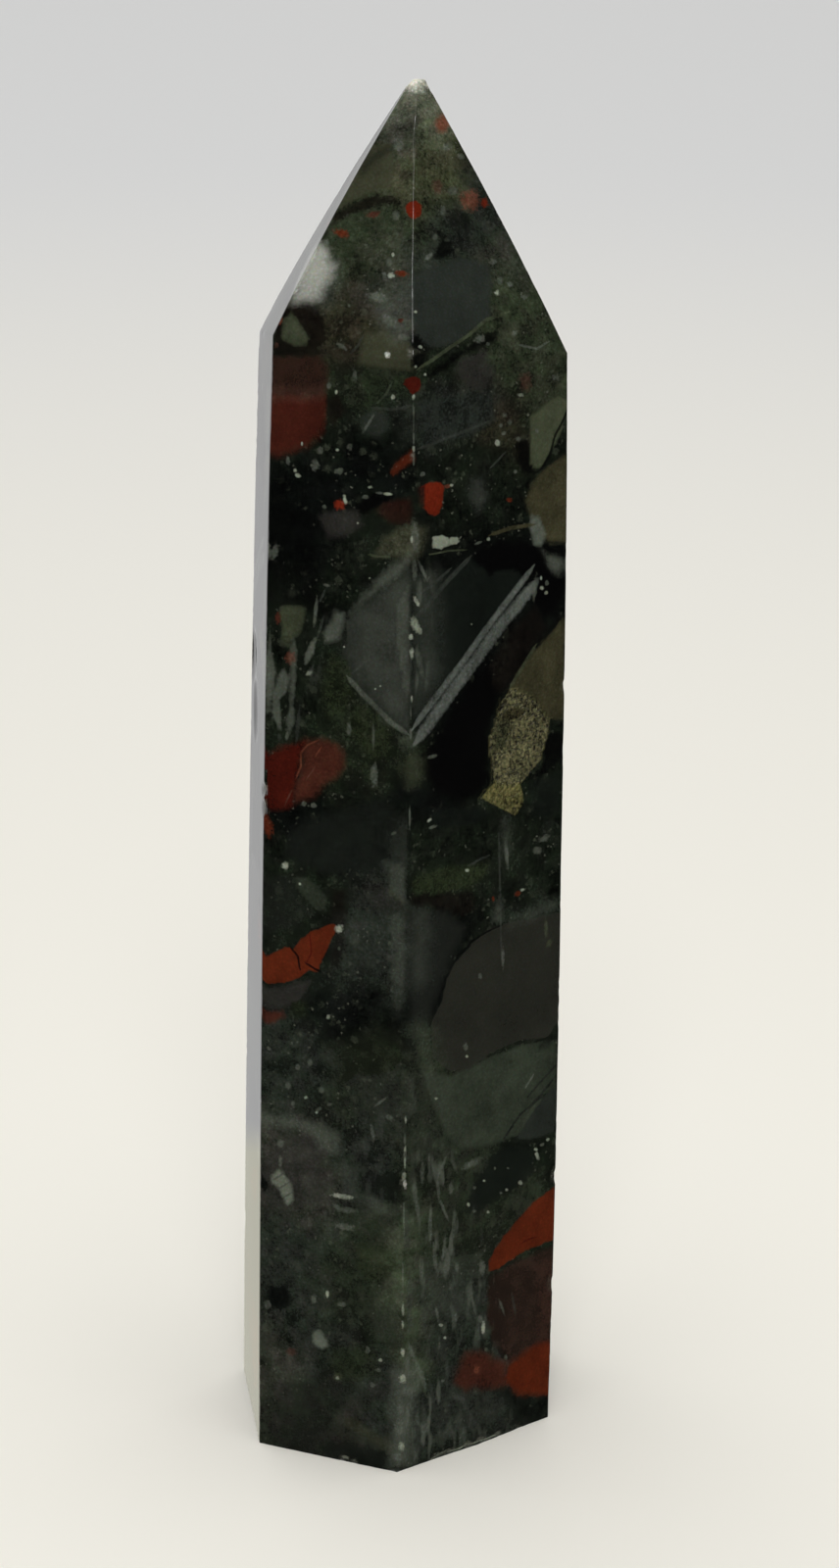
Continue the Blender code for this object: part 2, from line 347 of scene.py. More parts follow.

# Pale veils, which lie a little under the polish. Some keep to the left or right of the front edge;
# the frost and mist ones that do so on the body are partly painted sheen, the soft haze of reflected
# light down that edge.
VEILS_AND_SHEEN = (
    ("frost", 0.62, 1.8, ((392, 610), (421, 586), (421, 720), (404, 706), (390, 660)), "left"),
    ("frost", 0.3, 2.6, ((362, 626), (421, 578), (421, 745), (384, 716), (362, 680)), "left"),
    ("frost", 0.55, 0.9, ((356, 626), (374, 604), (398, 580), (419, 562), (419, 578), (386, 603)), "left"),
    ("frost", 0.24, 2.4, ((421, 590), (446, 586), (450, 690), (421, 726)), "right"),
    ("frost", 0.2, 2.0, ((404, 850), (419, 830), (419, 905), (404, 900)), "left"),
    ("frost", 0.32, 0.9, ((392, 880), (419, 876), (419, 930), (400, 926)), "left"),
    ("frost", 0.3, 2.0, ((398, 930), (419, 920), (419, 1010), (404, 1020), (394, 980)), "left"),
    ("khaki", 0.4, 0.8, ((384, 901), (419, 907), (419, 930), (396, 932)), "left"),
    ("shale", 0.4, 1.4, ((366, 906), (390, 900), (419, 912), (419, 930), (398, 938), (376, 926)), "left"),
    ("frost", 0.2, 1.6, ((421, 930), (436, 930), (436, 1000), (421, 1010)), "right"),
    ("mist", 0.3, 2.0, ((345, 940), (400, 930), (400, 990), (350, 990)), "left"),
    ("mist", 0.3, 2.4, ((350, 1086), (419, 1072), (415, 1170), (350, 1120)), "left"),
    ("frost", 0.3, 1.4, ((412, 1096), (428, 1098), (432, 1140), (412, 1144)), "right"),
    ("reed", 0.5, 1.8, ((421, 1052), (436, 1040), (446, 1062), (452, 1090), (436, 1104), (421, 1100)),
        "right"),
    ("frost", 0.12, 2.4, ((421, 1060), (444, 1096), (462, 1176), (414, 1190)), "right"),
    ("leek", 0.6, 1.8, ((336, 1070), (376, 1056), (418, 1064), (418, 1106), (384, 1118), (342, 1104)),
        "left"),
    ("frost", 0.16, 1.6, ((428, 1284), (482, 1282), (484, 1342), (430, 1344))),
    ("lichen", 0.45, 1.2, ((384, 106), (412, 90), (440, 90), (440, 112), (410, 122), (386, 128))),
    ("frost", 0.3, 1.2, ((322, 270), (342, 262), (348, 280), (342, 300), (330, 316), (318, 312))),
    ("frost", 0.55, 1.0, ((262, 1138), (290, 1140), (320, 1145), (345, 1158), (344, 1176), (326, 1172),
        (318, 1156), (300, 1150), (262, 1149))),
    ("frost", 0.35, 1.0, ((402, 288), (421, 286), (421, 318), (404, 318)), "left"),
    ("frost", 0.28, 1.4, ((384, 300), (421, 306), (421, 346), (400, 350), (384, 330)), "left"),
    ("frost", 0.4, 0.9, ((376, 1222), (386, 1224), (398, 1240), (384, 1234))),
    ("frost", 0.5, 1.2, ((402, 1398), (424, 1392), (422, 1500), (396, 1502), (400, 1450))),
    ("ash", 0.5, 1.8, ((462, 1414), (500, 1420), (512, 1436), (486, 1458), (466, 1448))),
    ("khaki", 0.5, 1.0, ((410, 782), (424, 764), (432, 778), (428, 800), (416, 802))),
    ("reed", 0.6, 0.8, ((404, 752), (420, 746), (424, 764), (410, 766))),
    ("frost", 0.3, 0.9, ((506, 922), (512, 918), (514, 940), (505, 938))),
    ("frost", 0.22, 1.2, ((518, 938), (548, 926), (570, 916), (570, 924), (545, 936), (520, 944))),
    ("frost", 0.25, 1.0, ((513, 836), (519, 834), (519, 870), (514, 872))),
    ("mist", 0.6, 1.0, ((482, 490), (492, 486), (498, 510), (488, 520), (480, 506))),
    ("frost", 0.6, 0.5, ((342, 624), (352, 625), (346, 652), (333, 655), (332, 646))),
    ("ash", 0.4, 1.0, ((398, 1120), (408, 1118), (408, 1150), (398, 1150))),
)

# Where the quartz has grown as slim wavy barbs that run down the stone
FEATHERS = (
    ("frost", 0.22, 1.2, ((322, 640), (340, 630), (330, 690), (312, 700))),
    ("frost", 0.8, 1.8, ((426, 1180), (466, 1180), (478, 1250), (462, 1318), (426, 1310))),
    ("frost", 0.45, 2.0, ((430, 1300), (500, 1300), (500, 1372), (440, 1380))),
    ("frost", 0.7, 1.6, ((408, 1386), (450, 1380), (456, 1440), (440, 1490), (408, 1500))),
    ("frost", 0.3, 1.6, ((450, 1440), (520, 1428), (520, 1470), (450, 1488))),
    ("frost", 0.45, 1.0, ((419, 560), (440, 580), (436, 700), (419, 716))),
    ("mist", 0.5, 1.6, ((340, 1140), (406, 1130), (406, 1230), (350, 1230))),
    ("mist", 0.3, 1.6, ((520, 846), (562, 840), (562, 880), (520, 880))),
)

# Jasper and quartz, the bright pieces
JEWELS = (
    ("jasper", 1.0, 0.18, ((433, 495), (439, 491), (447, 491), (452, 496), (452, 516), (449, 524),
        (444, 527), (437, 524), (433, 518), (431, 506))),
    ("blood", 0.5, 0.6, ((428, 498), (434, 495), (434, 518), (430, 515))),
    ("ember", 1.0, 0.15, ((262, 984), (275, 975), (290, 967), (300, 968), (308, 957), (325, 948),
        (340, 942), (344, 946), (339, 958), (330, 975), (324, 992), (316, 990), (306, 997), (290, 1002),
        (262, 1006))),
    ("blood", 1.0, 0.7, ((262, 780), (272, 772), (285, 764), (300, 760), (314, 756), (308, 768),
        (306, 784), (301, 800), (297, 822), (285, 826), (262, 822))),
    ("clay", 0.95, 0.8, ((314, 756), (328, 754), (343, 759), (351, 770), (350, 782), (342, 793),
        (332, 801), (318, 812), (300, 818), (303, 800), (307, 784), (309, 768))),
    ("ember", 1.0, 0.15, ((577, 1208), (563, 1213), (546, 1226), (526, 1247), (510, 1268), (498, 1288),
        (498, 1298), (508, 1295), (525, 1282), (545, 1272), (577, 1262))),
    ("ember", 1.0, 0.6, ((577, 1364), (550, 1372), (535, 1380), (519, 1392), (512, 1408), (530, 1423),
        (560, 1424), (577, 1420))),
    ("clay", 0.9, 0.8, ((518, 1390), (505, 1386), (490, 1379), (475, 1382), (465, 1397), (464, 1411),
        (476, 1417), (500, 1415), (518, 1414))),
    ("jasper", 1.0, 0.12, ((413, 214), (417, 207), (424, 205), (430, 210), (429, 219), (422, 224),
        (416, 220))),
    ("blood", 1.0, 0.12, ((411, 392), (414, 386), (424, 384), (429, 388), (430, 396), (424, 401),
        (421, 404), (416, 397))),
    ("clay", 0.9, 0.4, ((262, 1032), (288, 1032), (290, 1037), (280, 1043), (262, 1046))),
    ("coral", 0.8, 0.5, ((447, 118), (455, 116), (460, 126), (456, 134), (448, 134), (444, 126))),
    ("ember", 0.7, 0.4, ((398, 481), (405, 471), (415, 463), (421, 457), (422, 469), (412, 476),
        (402, 486))),
    ("quartz", 0.85, 1.1, ((297, 308), (303, 286), (318, 260), (326, 248), (333, 254), (335, 264),
        (340, 272), (338, 284), (331, 292), (325, 303), (314, 307))),
    ("frost", 0.7, 0.25, ((272, 664), (274, 644), (277, 662), (282, 686), (280, 700), (276, 712),
        (278, 738), (274, 726), (272, 700))),
    ("frost", 0.65, 0.2, ((290, 680), (295, 695), (291, 706), (285, 714), (286, 728), (288, 744),
        (284, 746), (279, 732), (277, 712), (281, 700), (284, 688))),
    ("frost", 0.55, 0.25, ((299, 650), (302, 664), (302, 692), (299, 716), (301, 735), (294, 752),
        (292, 738), (296, 716), (297, 690), (294, 668))),
    ("frost", 0.85, 0.2, ((323, 650), (321, 662), (315, 676), (310, 681), (312, 668), (316, 657))),
    ("milk", 1.0, 0.12, ((441, 548), (450, 546), (458, 549), (458, 557), (450, 561), (442, 559))),
    ("milk", 0.95, 0.1, ((457, 548), (466, 547), (471, 551), (467, 555), (460, 556))),
    ("frost", 0.95, 0.4, ((542, 526), (550, 528), (557, 545), (552, 557), (545, 556), (540, 540))),
    ("frost", 0.65, 0.6, ((553, 561), (560, 565), (572, 569), (576, 578), (570, 588), (562, 584),
        (557, 576))),
    ("milk", 0.6, 0.35, ((277, 1199), (285, 1193), (291, 1199), (297, 1208), (299, 1224), (293, 1229),
        (286, 1216), (278, 1207))),
    ("frost", 0.95, 0.3, ((318, 1360), (326, 1357), (333, 1366), (337, 1374), (328, 1376), (320, 1370))),
)

# The outlined pieces, each layer over the one before
LAYERS = {
    "fragments": FRAGMENTS,
    "inclusions": INCLUSIONS,
    "veils_and_sheen": VEILS_AND_SHEEN,
    "feathers": FEATHERS,
    "jewels": JEWELS,
}
FAR = 3.0  # millimetres from a border past which nothing of it is kept
VEIL_STOP = 6  # a veil ends this many times more sharply at the front edge

# Spots and flakes: see Oval
SPOTS = (
    # the point
    ("ember", 348, 238, 15, 9, 20), ("clay", 381, 219, 16, 8), ("ember", 410, 279, 13, 7),
    ("clay", 409, 327, 6, 6), ("rose", 446, 190, 11, 14), ("coral", 480, 204, 20, 20),
    ("jasper", 494, 207, 8, 9), ("coral", 286, 328, 4, 9, 30), ("rose", 282, 352, 5, 7),
    ("frost", 406, 147, 9, 15), ("frost", 462, 195, 10, 8), ("frost", 397, 268, 7, 9),
    ("milk", 399, 281, 7, 6), ("frost", 392, 281, 5, 8), ("milk", 401, 260, 3, 4),
    ("frost", 386, 303, 20, 9, 10), ("mist", 388, 316, 12, 8), ("frost", 398, 327, 20, 10, 35),
    ("frost", 412, 344, 11, 7), ("quartz", 395, 362, 6, 7), ("frost", 437, 262, 10, 5, -40),
    ("frost", 503, 267, 7, 6), ("frost", 510, 286, 6, 8), ("milk", 507, 299, 5, 5),
    ("frost", 520, 290, 6, 6), ("frost", 535, 303, 7, 5), ("milk", 424, 318, 3, 3),
    ("frost", 490, 346, 10, 8), ("frost", 498, 351, 4, 4), ("milk", 429, 354, 4, 4),
    ("milk", 434, 382, 3, 3), ("milk", 424, 374, 3, 3), ("frost", 362, 382, 5, 11),
    ("rose", 536, 389, 12, 18), ("frost", 567, 385, 7, 7), ("milk", 531, 403, 7, 4),
    # the quartz and milk spots at the very tip are white crushed stone and partly painted highlight, the
    # glare of the light on its cap
    ("quartz", 426, 84, 17, 15), ("milk", 428, 92, 15, 9, 10), ("frost", 348, 353, 12, 5, 30),
    ("frost", 333, 247, 6, 7), ("frost", 455, 150, 9, 7), ("frost", 470, 160, 8, 6, 30),
    ("frost", 452, 215, 6, 10), ("frost", 444, 242, 5, 6), ("frost", 404, 220, 7, 10),
    ("frost", 525, 340, 6, 6), ("frost", 356, 312, 3, 4),
    # the body, upper half
    ("frost", 336, 394, 4, 6), ("milk", 343, 400, 3, 5), ("milk", 401, 405, 4, 5),
    ("frost", 376, 432, 3, 22, 30), ("milk", 344, 459, 4, 3), ("frost", 357, 456, 6, 7),
    ("frost", 294, 470, 4, 8), ("milk", 301, 480, 4, 5), ("milk", 304, 485, 6, 4, 30),
    ("frost", 322, 474, 9, 12), ("frost", 327, 459, 5, 8), ("frost", 345, 481, 8, 6),
    ("milk", 308, 453, 2, 4), ("jasper", 346, 515, 12, 10), ("milk", 352, 510, 4, 10, -15),
    ("frost", 331, 517, 4, 4), ("frost", 373, 507, 6, 4), ("milk", 378, 497, 5, 3),
    ("milk", 396, 504, 7, 3), ("frost", 387, 503, 8, 3), ("milk", 365, 534, 2, 2),
    ("frost", 515, 424, 5, 5), ("frost", 520, 431, 5, 6), ("frost", 511, 434, 4, 4),
    ("milk", 508, 452, 5, 6), ("frost", 514, 442, 4, 4), ("frost", 529, 448, 6, 5),
    ("frost", 548, 440, 4, 5), ("ember", 520, 510, 6, 5), ("coral", 457, 496, 6, 4),
    ("milk", 461, 495, 4, 3), ("frost", 431, 484, 5, 4, -20), ("jet", 554, 588, 12, 44, 4),
    ("frost", 546, 600, 4, 24, 6), ("frost", 526, 481, 4, 4), ("milk", 498, 550, 4, 4),
    ("frost", 488, 554, 8, 3, -20), ("milk", 481, 637, 2, 2), ("milk", 377, 590, 2, 2),
    ("frost", 280, 564, 8, 18, 18), ("coral", 296, 671, 11, 13), ("frost", 317, 686, 6, 8),
    ("milk", 351, 660, 2, 2), ("clay", 284, 631, 7, 12), ("khaki", 292, 650, 13, 24, -6),
    ("frost", 333, 597, 7, 4, 10), ("milk", 552, 590, 2, 4), ("milk", 553, 600, 4, 4),
    ("milk", 557, 605, 3, 4, 30), ("frost", 558, 595, 4, 6), ("milk", 388, 700, 2, 2),
    ("milk", 383, 703, 2, 2), ("frost", 356, 744, 5, 12), ("frost", 382, 790, 7, 24),
    ("frost", 381, 752, 3, 24), ("frost", 441, 772, 10, 4, -20),
    # flakes along the front edge, pale and partly painted highlight: the glints and the soft sheen of
    # light down that edge
    ("milk", 422, 458, 3, 6), ("frost", 422, 425, 2, 34), ("frost", 422, 447, 2, 14),
    ("frost", 422, 470, 2, 10), ("milk", 422, 405, 3, 5), ("frost", 424, 550, 8, 38, -4),
    ("milk", 420, 550, 3, 8), ("frost", 423, 582, 5, 20), ("frost", 431, 582, 3, 24, -25),
    ("milk", 425, 614, 4, 12, -25), ("milk", 423, 637, 8, 16, -20), ("milk", 427, 642, 5, 10, -30),
    ("milk", 419, 650, 4, 5), ("milk", 420, 667, 4, 12), ("frost", 428, 676, 6, 24, -12),
    ("milk", 420, 713, 2, 6), ("frost", 419, 727, 2, 14), ("frost", 419, 750, 3, 14),
    ("frost", 418, 835, 2, 20), ("milk", 414, 1143, 2, 6), ("frost", 413, 1162, 3, 12),
    ("milk", 413, 1174, 2, 10, 10), ("milk", 413, 1186, 2, 12), ("milk", 412, 1200, 4, 8),
    ("quartz", 413, 1208, 4, 9), ("frost", 412, 1240, 2, 40), ("frost", 411, 1300, 2, 30),
    ("milk", 411, 1337, 3, 12), ("milk", 411, 1352, 3, 8), ("milk", 411, 1380, 4, 8),
    ("milk", 411, 1407, 7, 10), ("frost", 415, 1420, 10, 12), ("frost", 409, 1437, 8, 14),
    ("frost", 408, 1456, 11, 14), ("milk", 410, 1476, 6, 10), ("frost", 406, 1486, 14, 10),
    # the body, lower half
    ("milk", 291, 883, 7, 7), ("milk", 306, 902, 3, 3), ("milk", 477, 888, 4, 3),
    ("milk", 438, 837, 3, 5, 40), ("frost", 441, 844, 10, 3, -20), ("milk", 346, 948, 8, 8),
    ("frost", 346, 968, 3, 4), ("milk", 335, 1038, 4, 5), ("milk", 312, 1120, 4, 4),
    ("frost", 299, 1126, 4, 5), ("frost", 304, 1089, 5, 6), ("frost", 316, 1084, 5, 7),
    ("frost", 294, 1108, 6, 8), ("frost", 328, 1112, 6, 7), ("frost", 274, 1070, 5, 4),
    ("frost", 325, 1132, 7, 4, -20), ("milk", 323, 1135, 3, 3), ("frost", 336, 1127, 6, 3),
    ("frost", 475, 1068, 5, 8), ("milk", 476, 1078, 3, 3), ("milk", 445, 1121, 3, 3),
    ("frost", 397, 1140, 8, 5, 30), ("frost", 389, 1124, 14, 3, -35), ("frost", 380, 1155, 4, 16, -10),
    ("frost", 286, 1186, 4, 12), ("frost", 286, 1167, 7, 8), ("milk", 494, 1205, 3, 3),
    ("milk", 531, 1207, 4, 4), ("milk", 478, 1229, 3, 4), ("milk", 498, 1237, 3, 3),
    ("milk", 517, 1214, 3, 3), ("frost", 511, 1217, 3, 3), ("frost", 505, 1192, 2, 3),
    ("frost", 518, 1192, 3, 2), ("frost", 484, 1212, 3, 4), ("frost", 484, 1236, 4, 3),
    ("milk", 548, 1179, 4, 8, -15), ("milk", 547, 1173, 4, 3), ("milk", 559, 1163, 4, 3, -30),
    ("frost", 553, 1168, 6, 3, -30), ("milk", 350, 1221, 20, 5, 8), ("frost", 343, 1231, 10, 5, 30),
    ("frost", 354, 1235, 20, 5, 5), ("frost", 352, 1252, 20, 7, 8), ("frost", 273, 1331, 7, 9),
    ("frost", 320, 1326, 6, 9), ("milk", 334, 1320, 3, 8), ("frost", 348, 1331, 10, 5),
    ("frost", 375, 1378, 5, 7), ("milk", 388, 1388, 4, 4), ("frost", 386, 1398, 6, 4),
    ("frost", 380, 1413, 5, 6), ("khaki", 345, 1405, 9, 9, 30), ("milk", 344, 1406, 4, 4),
    ("rose", 297, 1380, 11, 8), ("milk", 450, 1352, 4, 3), ("milk", 454, 1365, 3, 3),
    ("milk", 493, 1355, 4, 14), ("frost", 490, 1346, 5, 8), ("frost", 496, 1377, 4, 4),
    # the spots below row 1460 on this line and the next two are pale raw chips on the base edge, with their
    # highlights painted in
    ("frost", 516, 1385, 4, 6), ("frost", 477, 1473, 9, 6, -20), ("frost", 455, 1482, 9, 4, -20),
    ("frost", 507, 1463, 6, 4, -20), ("frost", 446, 1485, 8, 5, -30), ("frost", 452, 1409, 3, 3),
    ("milk", 352, 1487, 7, 3, 10), ("frost", 360, 1491, 8, 4, 10), ("ember", 503, 917, 4, 6),
    ("ember", 528, 912, 7, 5, -20), ("milk", 533, 908, 4, 3, -20), ("frost", 513, 978, 3, 22),
    ("khaki", 557, 948, 4, 18), ("khaki", 561, 962, 5, 10, 30), ("frost", 555, 856, 12, 6, -30),
    ("frost", 548, 868, 10, 8), ("frost", 517, 872, 4, 30, -5), ("frost", 268, 864, 5, 4),
    ("frost", 310, 820, 5, 5), ("frost", 320, 822, 6, 5, 30), ("ember", 273, 844, 12, 20),
    ("frost", 490, 996, 4, 6), ("coral", 486, 1398, 6, 10), ("frost", 480, 1188, 22, 7, -30),
    ("frost", 400, 1010, 3, 6), ("frost", 402, 850, 6, 3, -30),
    # slim flakes that lie side by side like the barbs of a feather
    ("mist", 304, 738, 4, 40, 6), ("frost", 322, 624, 4, 28, 6), ("mist", 329, 608, 3, 16, 24),
    ("mist", 327, 640, 3, 26, 18), ("milk", 315, 687, 6, 4, -30), ("mist", 318, 682, 2, 14, 28),
    ("frost", 293, 750, 3, 10, 10), ("mist", 285, 752, 4, 10), ("frost", 431, 1195, 5, 20),
    ("frost", 438, 1190, 3, 20), ("frost", 423, 1216, 5, 22), ("frost", 450, 1194, 3, 26, 20),
    ("frost", 447, 1214, 3, 22, -5), ("frost", 452, 1232, 3, 26, -22), ("frost", 460, 1212, 5, 12),
    ("frost", 463, 1250, 4, 36, 4), ("frost", 439, 1252, 4, 36), ("frost", 444, 1284, 4, 28, -5),
    ("frost", 430, 1296, 5, 30), ("frost", 453, 1274, 3, 26, 8), ("mist", 415, 1258, 7, 44),
    ("frost", 466, 1294, 4, 12), ("frost", 492, 1293, 6, 14), ("frost", 446, 1340, 3, 18, -10),
    ("frost", 465, 1344, 3, 10), ("frost", 483, 1330, 3, 24, -12), ("mist", 433, 1345, 4, 26),
    ("mist", 424, 1440, 5, 40, -5), ("mist", 433, 1448, 5, 40, -5), ("mist", 441, 1424, 4, 30, -8),
    ("mist", 427, 1472, 6, 26), ("mist", 418, 1330, 6, 70), ("frost", 512, 1334, 3, 16, -20),
    ("mist", 491, 1262, 3, 20), ("frost", 420, 1380, 5, 20, -20), ("frost", 429, 1402, 5, 30, -20),
    ("mist", 478, 1450, 6, 14, -20), ("mist", 524, 1330, 3, 26, -10), ("frost", 425, 1228, 3, 18),
    ("mist", 456, 1400, 4, 30),
)

# Veins and scratches: mineral, half its width in pixels, and the line that it follows
VEINS = (
    # the first is a pale cream band that runs along the left edge of the point
    ("quartz", 2.6, ((301, 298), (306, 284), (314, 270), (322, 256))),
    ("vein", 3.1, ((421, 744), (430, 731), (446, 710), (461, 690), (476, 670), (490, 650), (505, 630),
        (520, 610), (537, 588), (544, 578))),
    ("vein", 5.8, ((424, 758), (443, 731), (458, 710), (473, 690), (488, 670), (502, 650), (517, 630),
        (534, 610), (549, 592))),
    # the pale chipped rim of the base's right edge, raw stone with its highlight painted in
    ("milk", 0.9, ((439, 1490), (447, 1484), (454, 1481), (461, 1480), (469, 1478), (476, 1473),
        (482, 1473), (489, 1470), (497, 1468), (507, 1463))),
    ("khaki", 1.9, ((519, 318), (495, 327), (478, 342), (460, 354), (440, 368), (426, 377))),
    ("mist", 1.6, ((425, 459), (445, 451), (475, 440), (498, 430))),
    ("mist", 1.2, ((500, 478), (516, 461))),
    ("jet", 1.3, ((580, 416), (574, 430), (566, 445), (561, 464), (552, 479), (544, 484))),
    ("olive", 2.2, ((500, 546), (520, 539), (545, 535))),
    ("khaki", 1.1, ((438, 566), (458, 562), (476, 561))),
    ("khaki", 1.3, ((376, 566), (386, 568), (398, 568))),
    ("khaki", 1.7, ((547, 658), (533, 681), (520, 702))),
    ("frost", 2.8, ((355, 691), (366, 704), (384, 722), (400, 738), (416, 749))),
    ("mist", 2.4, ((422, 632), (436, 618), (452, 598), (480, 568))),
    ("mist", 1.6, ((426, 606), (440, 598), (460, 580))),
    ("coral", 1.0, ((326, 755), (314, 760), (307, 768), (307, 782), (302, 794))),
    ("coral", 0.8, ((329, 761), (321, 772))),
    ("rose", 0.9, ((298, 806), (290, 822))),
    ("rose", 0.8, ((322, 782), (312, 796))),
    ("jet", 1.1, ((296, 966), (304, 976), (306, 990))),
    ("jet", 1.2, ((311, 982), (320, 988), (328, 992))),
    ("blood", 0.9, ((316, 953), (318, 972), (312, 984))),
    ("graphite", 1.1, ((568, 1086), (548, 1108), (538, 1120))),
    ("graphite", 1.2, ((567, 1098), (548, 1122), (530, 1138), (514, 1162))),
    ("reed", 2.0, ((552, 1122), (543, 1132), (527, 1158))),
    ("jet", 0.9, ((470, 974), (482, 960), (498, 950), (514, 943))),
    ("reed", 2.0, ((415, 1374), (423, 1384), (431, 1402), (434, 1424))),
    ("mist", 1.2, ((279, 1204), (290, 1197))),
    ("mist", 1.0, ((284, 1213), (296, 1206))),
    ("mist", 1.0, ((289, 1222), (299, 1216))),
    ("blood", 0.8, ((530, 1270), (540, 1264), (548, 1262))),
    ("mist", 1.0, ((509, 850), (510, 900), (511, 950), (512, 985))),
    ("mist", 1.6, ((360, 686), (382, 668), (406, 645))),
    ("mist", 1.2, ((477, 884), (488, 878), (500, 872))),
    ("frost", 1.0, ((545, 1096), (536, 1110))),
    ("mist", 2.6, ((462, 1424), (472, 1428), (478, 1442), (486, 1456))),
    ("frost", 1.3, ((560, 348), (548, 356), (530, 352))),
    ("mist", 1.3, ((370, 342), (366, 352), (358, 360))),
    ("reed", 1.2, ((400, 390), (394, 402), (384, 412))),
    ("mist", 1.6, ((420, 414), (400, 418), (380, 416))),
)

HELD_AROUND = 8  # pixels round a mark in which the mesh's points keep its numbers
CLEAR_AROUND = 13  # and in which its group has no other mark

# How solid a mark looks
MARK_STRENGTH = {
    "coral": 0.5, "quartz": 1.0, "milk": 0.95, "mist": 0.5, "rose": 0.55, "frost": 0.58, "reed": 0.6,
    "khaki": 0.7, "vein": 0.75,
}
OTHER_MARKS = 0.85

# Noise that stirs the stone: millimetres across its blotches, detail, roughness, and how far from
# the middle it is spread to 1
NOISES = {
    "blotches": (1.9, 5.0, 0.62, 0.16),
    "grains": (0.36, 2.0, 0.55, 0.16),
    "grit": (0.27, 1.5, 0.75, 0.19),
    "drifts": (6.5, 3.0, 0.5, 0.14),
}

# Crumbs in the ground: millimetres, the draws between which they fade in, how solid, and colour
CRUMBS = (
    (0.62, 0.12, 0.02, 0.6, "0b0e0b"),
    (1.1, 0.78, 1.0, 0.4, "565d4d"),
    (0.55, 0.87, 1.0, 0.5, "656b5a"),
    (0.3, 0.94, 1.0, 0.65, "85887a"),
)
PEBBLE = 1.3 * MM  # across the blurred pebbles in the ground
BARB = (1.0 * MM, 1.0 * MM, 3.4 * MM)  # the room that a quartz barb takes across, back and up

# How far the borders of veins and spots wander with the grit and with the blotches, as a share of
# their half width
MARK_WANDER = {"veins": (0.1407, 0.096), "spots": (0.2956, 0.192)}


def linear(hex_colour):
    """An sRGB hex colour as the linear red, green, blue and alpha of a shader."""
    parts = [int(hex_colour[i:i + 2], 16) / 255 for i in (0, 2, 4)]
    return tuple(p / 12.92 if p <= 0.04045 else ((p + 0.055) / 1.055) ** 2.4 for p in parts) + (1.0,)


def set_camera():
    """Stands the camera where it took the picture."""
    data = bpy.data.cameras.new("camera")
    data.lens = LENS
    data.sensor_width = SENSOR
    data.clip_start = 0.01
    camera = bpy.data.objects.new("camera", data)
    bpy.context.scene.collection.objects.link(camera)
    turn = Matrix.Rotation(-CAMERA_YAW, 4, "Z") @ Matrix.Rotation(math.pi / 2 - CAMERA_PITCH, 4, "X")
    camera.matrix_world = Matrix.Translation(CAMERA_PLACE) @ turn @ Matrix.Rotation(CAMERA_ROLL, 4, "Z")
    bpy.context.scene.camera = camera
    return camera


def azimuth(point):
    """Degrees that a point or a direction stands round from -Y towards +X."""
    return math.degrees(math.atan2(point[0], -point[1]))


def azimuths(points):
    """The same for each row of an array."""
    return np.degrees(np.arctan2(points[:, 0], -points[:, 1]))


def outward(degrees):
    """The level direction at an azimuth."""
    turn = math.radians(degrees)
    return Vector((math.sin(turn), -math.cos(turn), 0.0))


def degrees_apart(a, b):
    """The smaller angle between two azimuths."""
    return abs((a - b + 180) % 360 - 180)


def runs_across(edge):
    """Whether an edge lies across a face, and isn't one of the rounding's short ones."""
    length = edge.calc_length()
    climb = abs(edge.verts[0].co.z - edge.verts[1].co.z)
    return length > ACROSS and climb < RISE * length


def face_of(edge):
    """Which of the six sides an edge that runs across belongs to, told by the way that it looks out."""
    along = edge.verts[1].co - edge.verts[0].co
    out = Vector((along.y, -along.x, 0.0))
    if out.dot(edge.verts[0].co + edge.verts[1].co) < 0:
        out = -out
    looks = azimuth(out)
    return min(FACE_AZIMUTHS, key=lambda face: degrees_apart(looks, FACE_AZIMUTHS[face]))


def cut_evenly(bm, edges, step):
    """Cuts each edge into as many parts, about a step long on the longest, and the faces with them."""
    longest = max(edge.calc_length() for edge in edges)
    bmesh.ops.subdivide_edges(bm, edges=edges, cuts=int(longest / step), use_grid_fill=True)


def sharpened(bm):
    """Merges the CAD stone's triangles to its ground faces, and draws its rounded edges back to lines."""
    bm.from_mesh(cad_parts["tower"].data)
    bmesh.ops.remove_doubles(bm, verts=bm.verts, dist=MERGED)
    bmesh.ops.join_triangles(
        bm,
        faces=bm.faces,
        angle_face_threshold=ONE_PLANE,
        angle_shape_threshold=math.radians(180),
    )
    bmesh.ops.collapse(bm, edges=[edge for edge in bm.edges if edge.calc_length() < STRIP])
    bmesh.ops.scale(bm, vec=(1 / DRAWN_IN, 1 / DRAWN_IN, 1.0), verts=bm.verts)
    for vert in bm.verts:
        if vert.co.z < STRIP:
            vert.co.z = 0.0
    bm.normal_update()
    for way in (-1, 1):
        level = [face for face in bm.faces if face.normal.z * way > LEVEL]
        bmesh.ops.dissolve_faces(bm, faces=level)


def gridded(bm):
    """Rounds the edges and cuts the faces into a fine grid, finest on the two front faces."""
    bmesh.ops.bevel(
        bm,
        geom=[edge for edge in bm.edges if edge.calc_face_angle(0.0) > ROUNDED],
        offset=EDGE_ROUND,
        offset_type="OFFSET",
        segments=2,
        profile=0.5,
        affect="EDGES",
        material=-1,
    )
    sides = {}
    for edge in bm.edges:
        if runs_across(edge):
            sides.setdefault(face_of(edge), []).append(edge)
    for name, side in sides.items():
        cut_evenly(bm, side, FRONT_STEP if "front" in name else BACK_STEP)
    for shortest, step in ((BODY_EDGE, UP_STEP), (POINT_EDGE, POINT_STEP)):
        upright = [edge for edge in bm.edges if edge.calc_length() > shortest and not runs_across(edge)]
        cut_evenly(bm, upright, step)
    bm.normal_update()


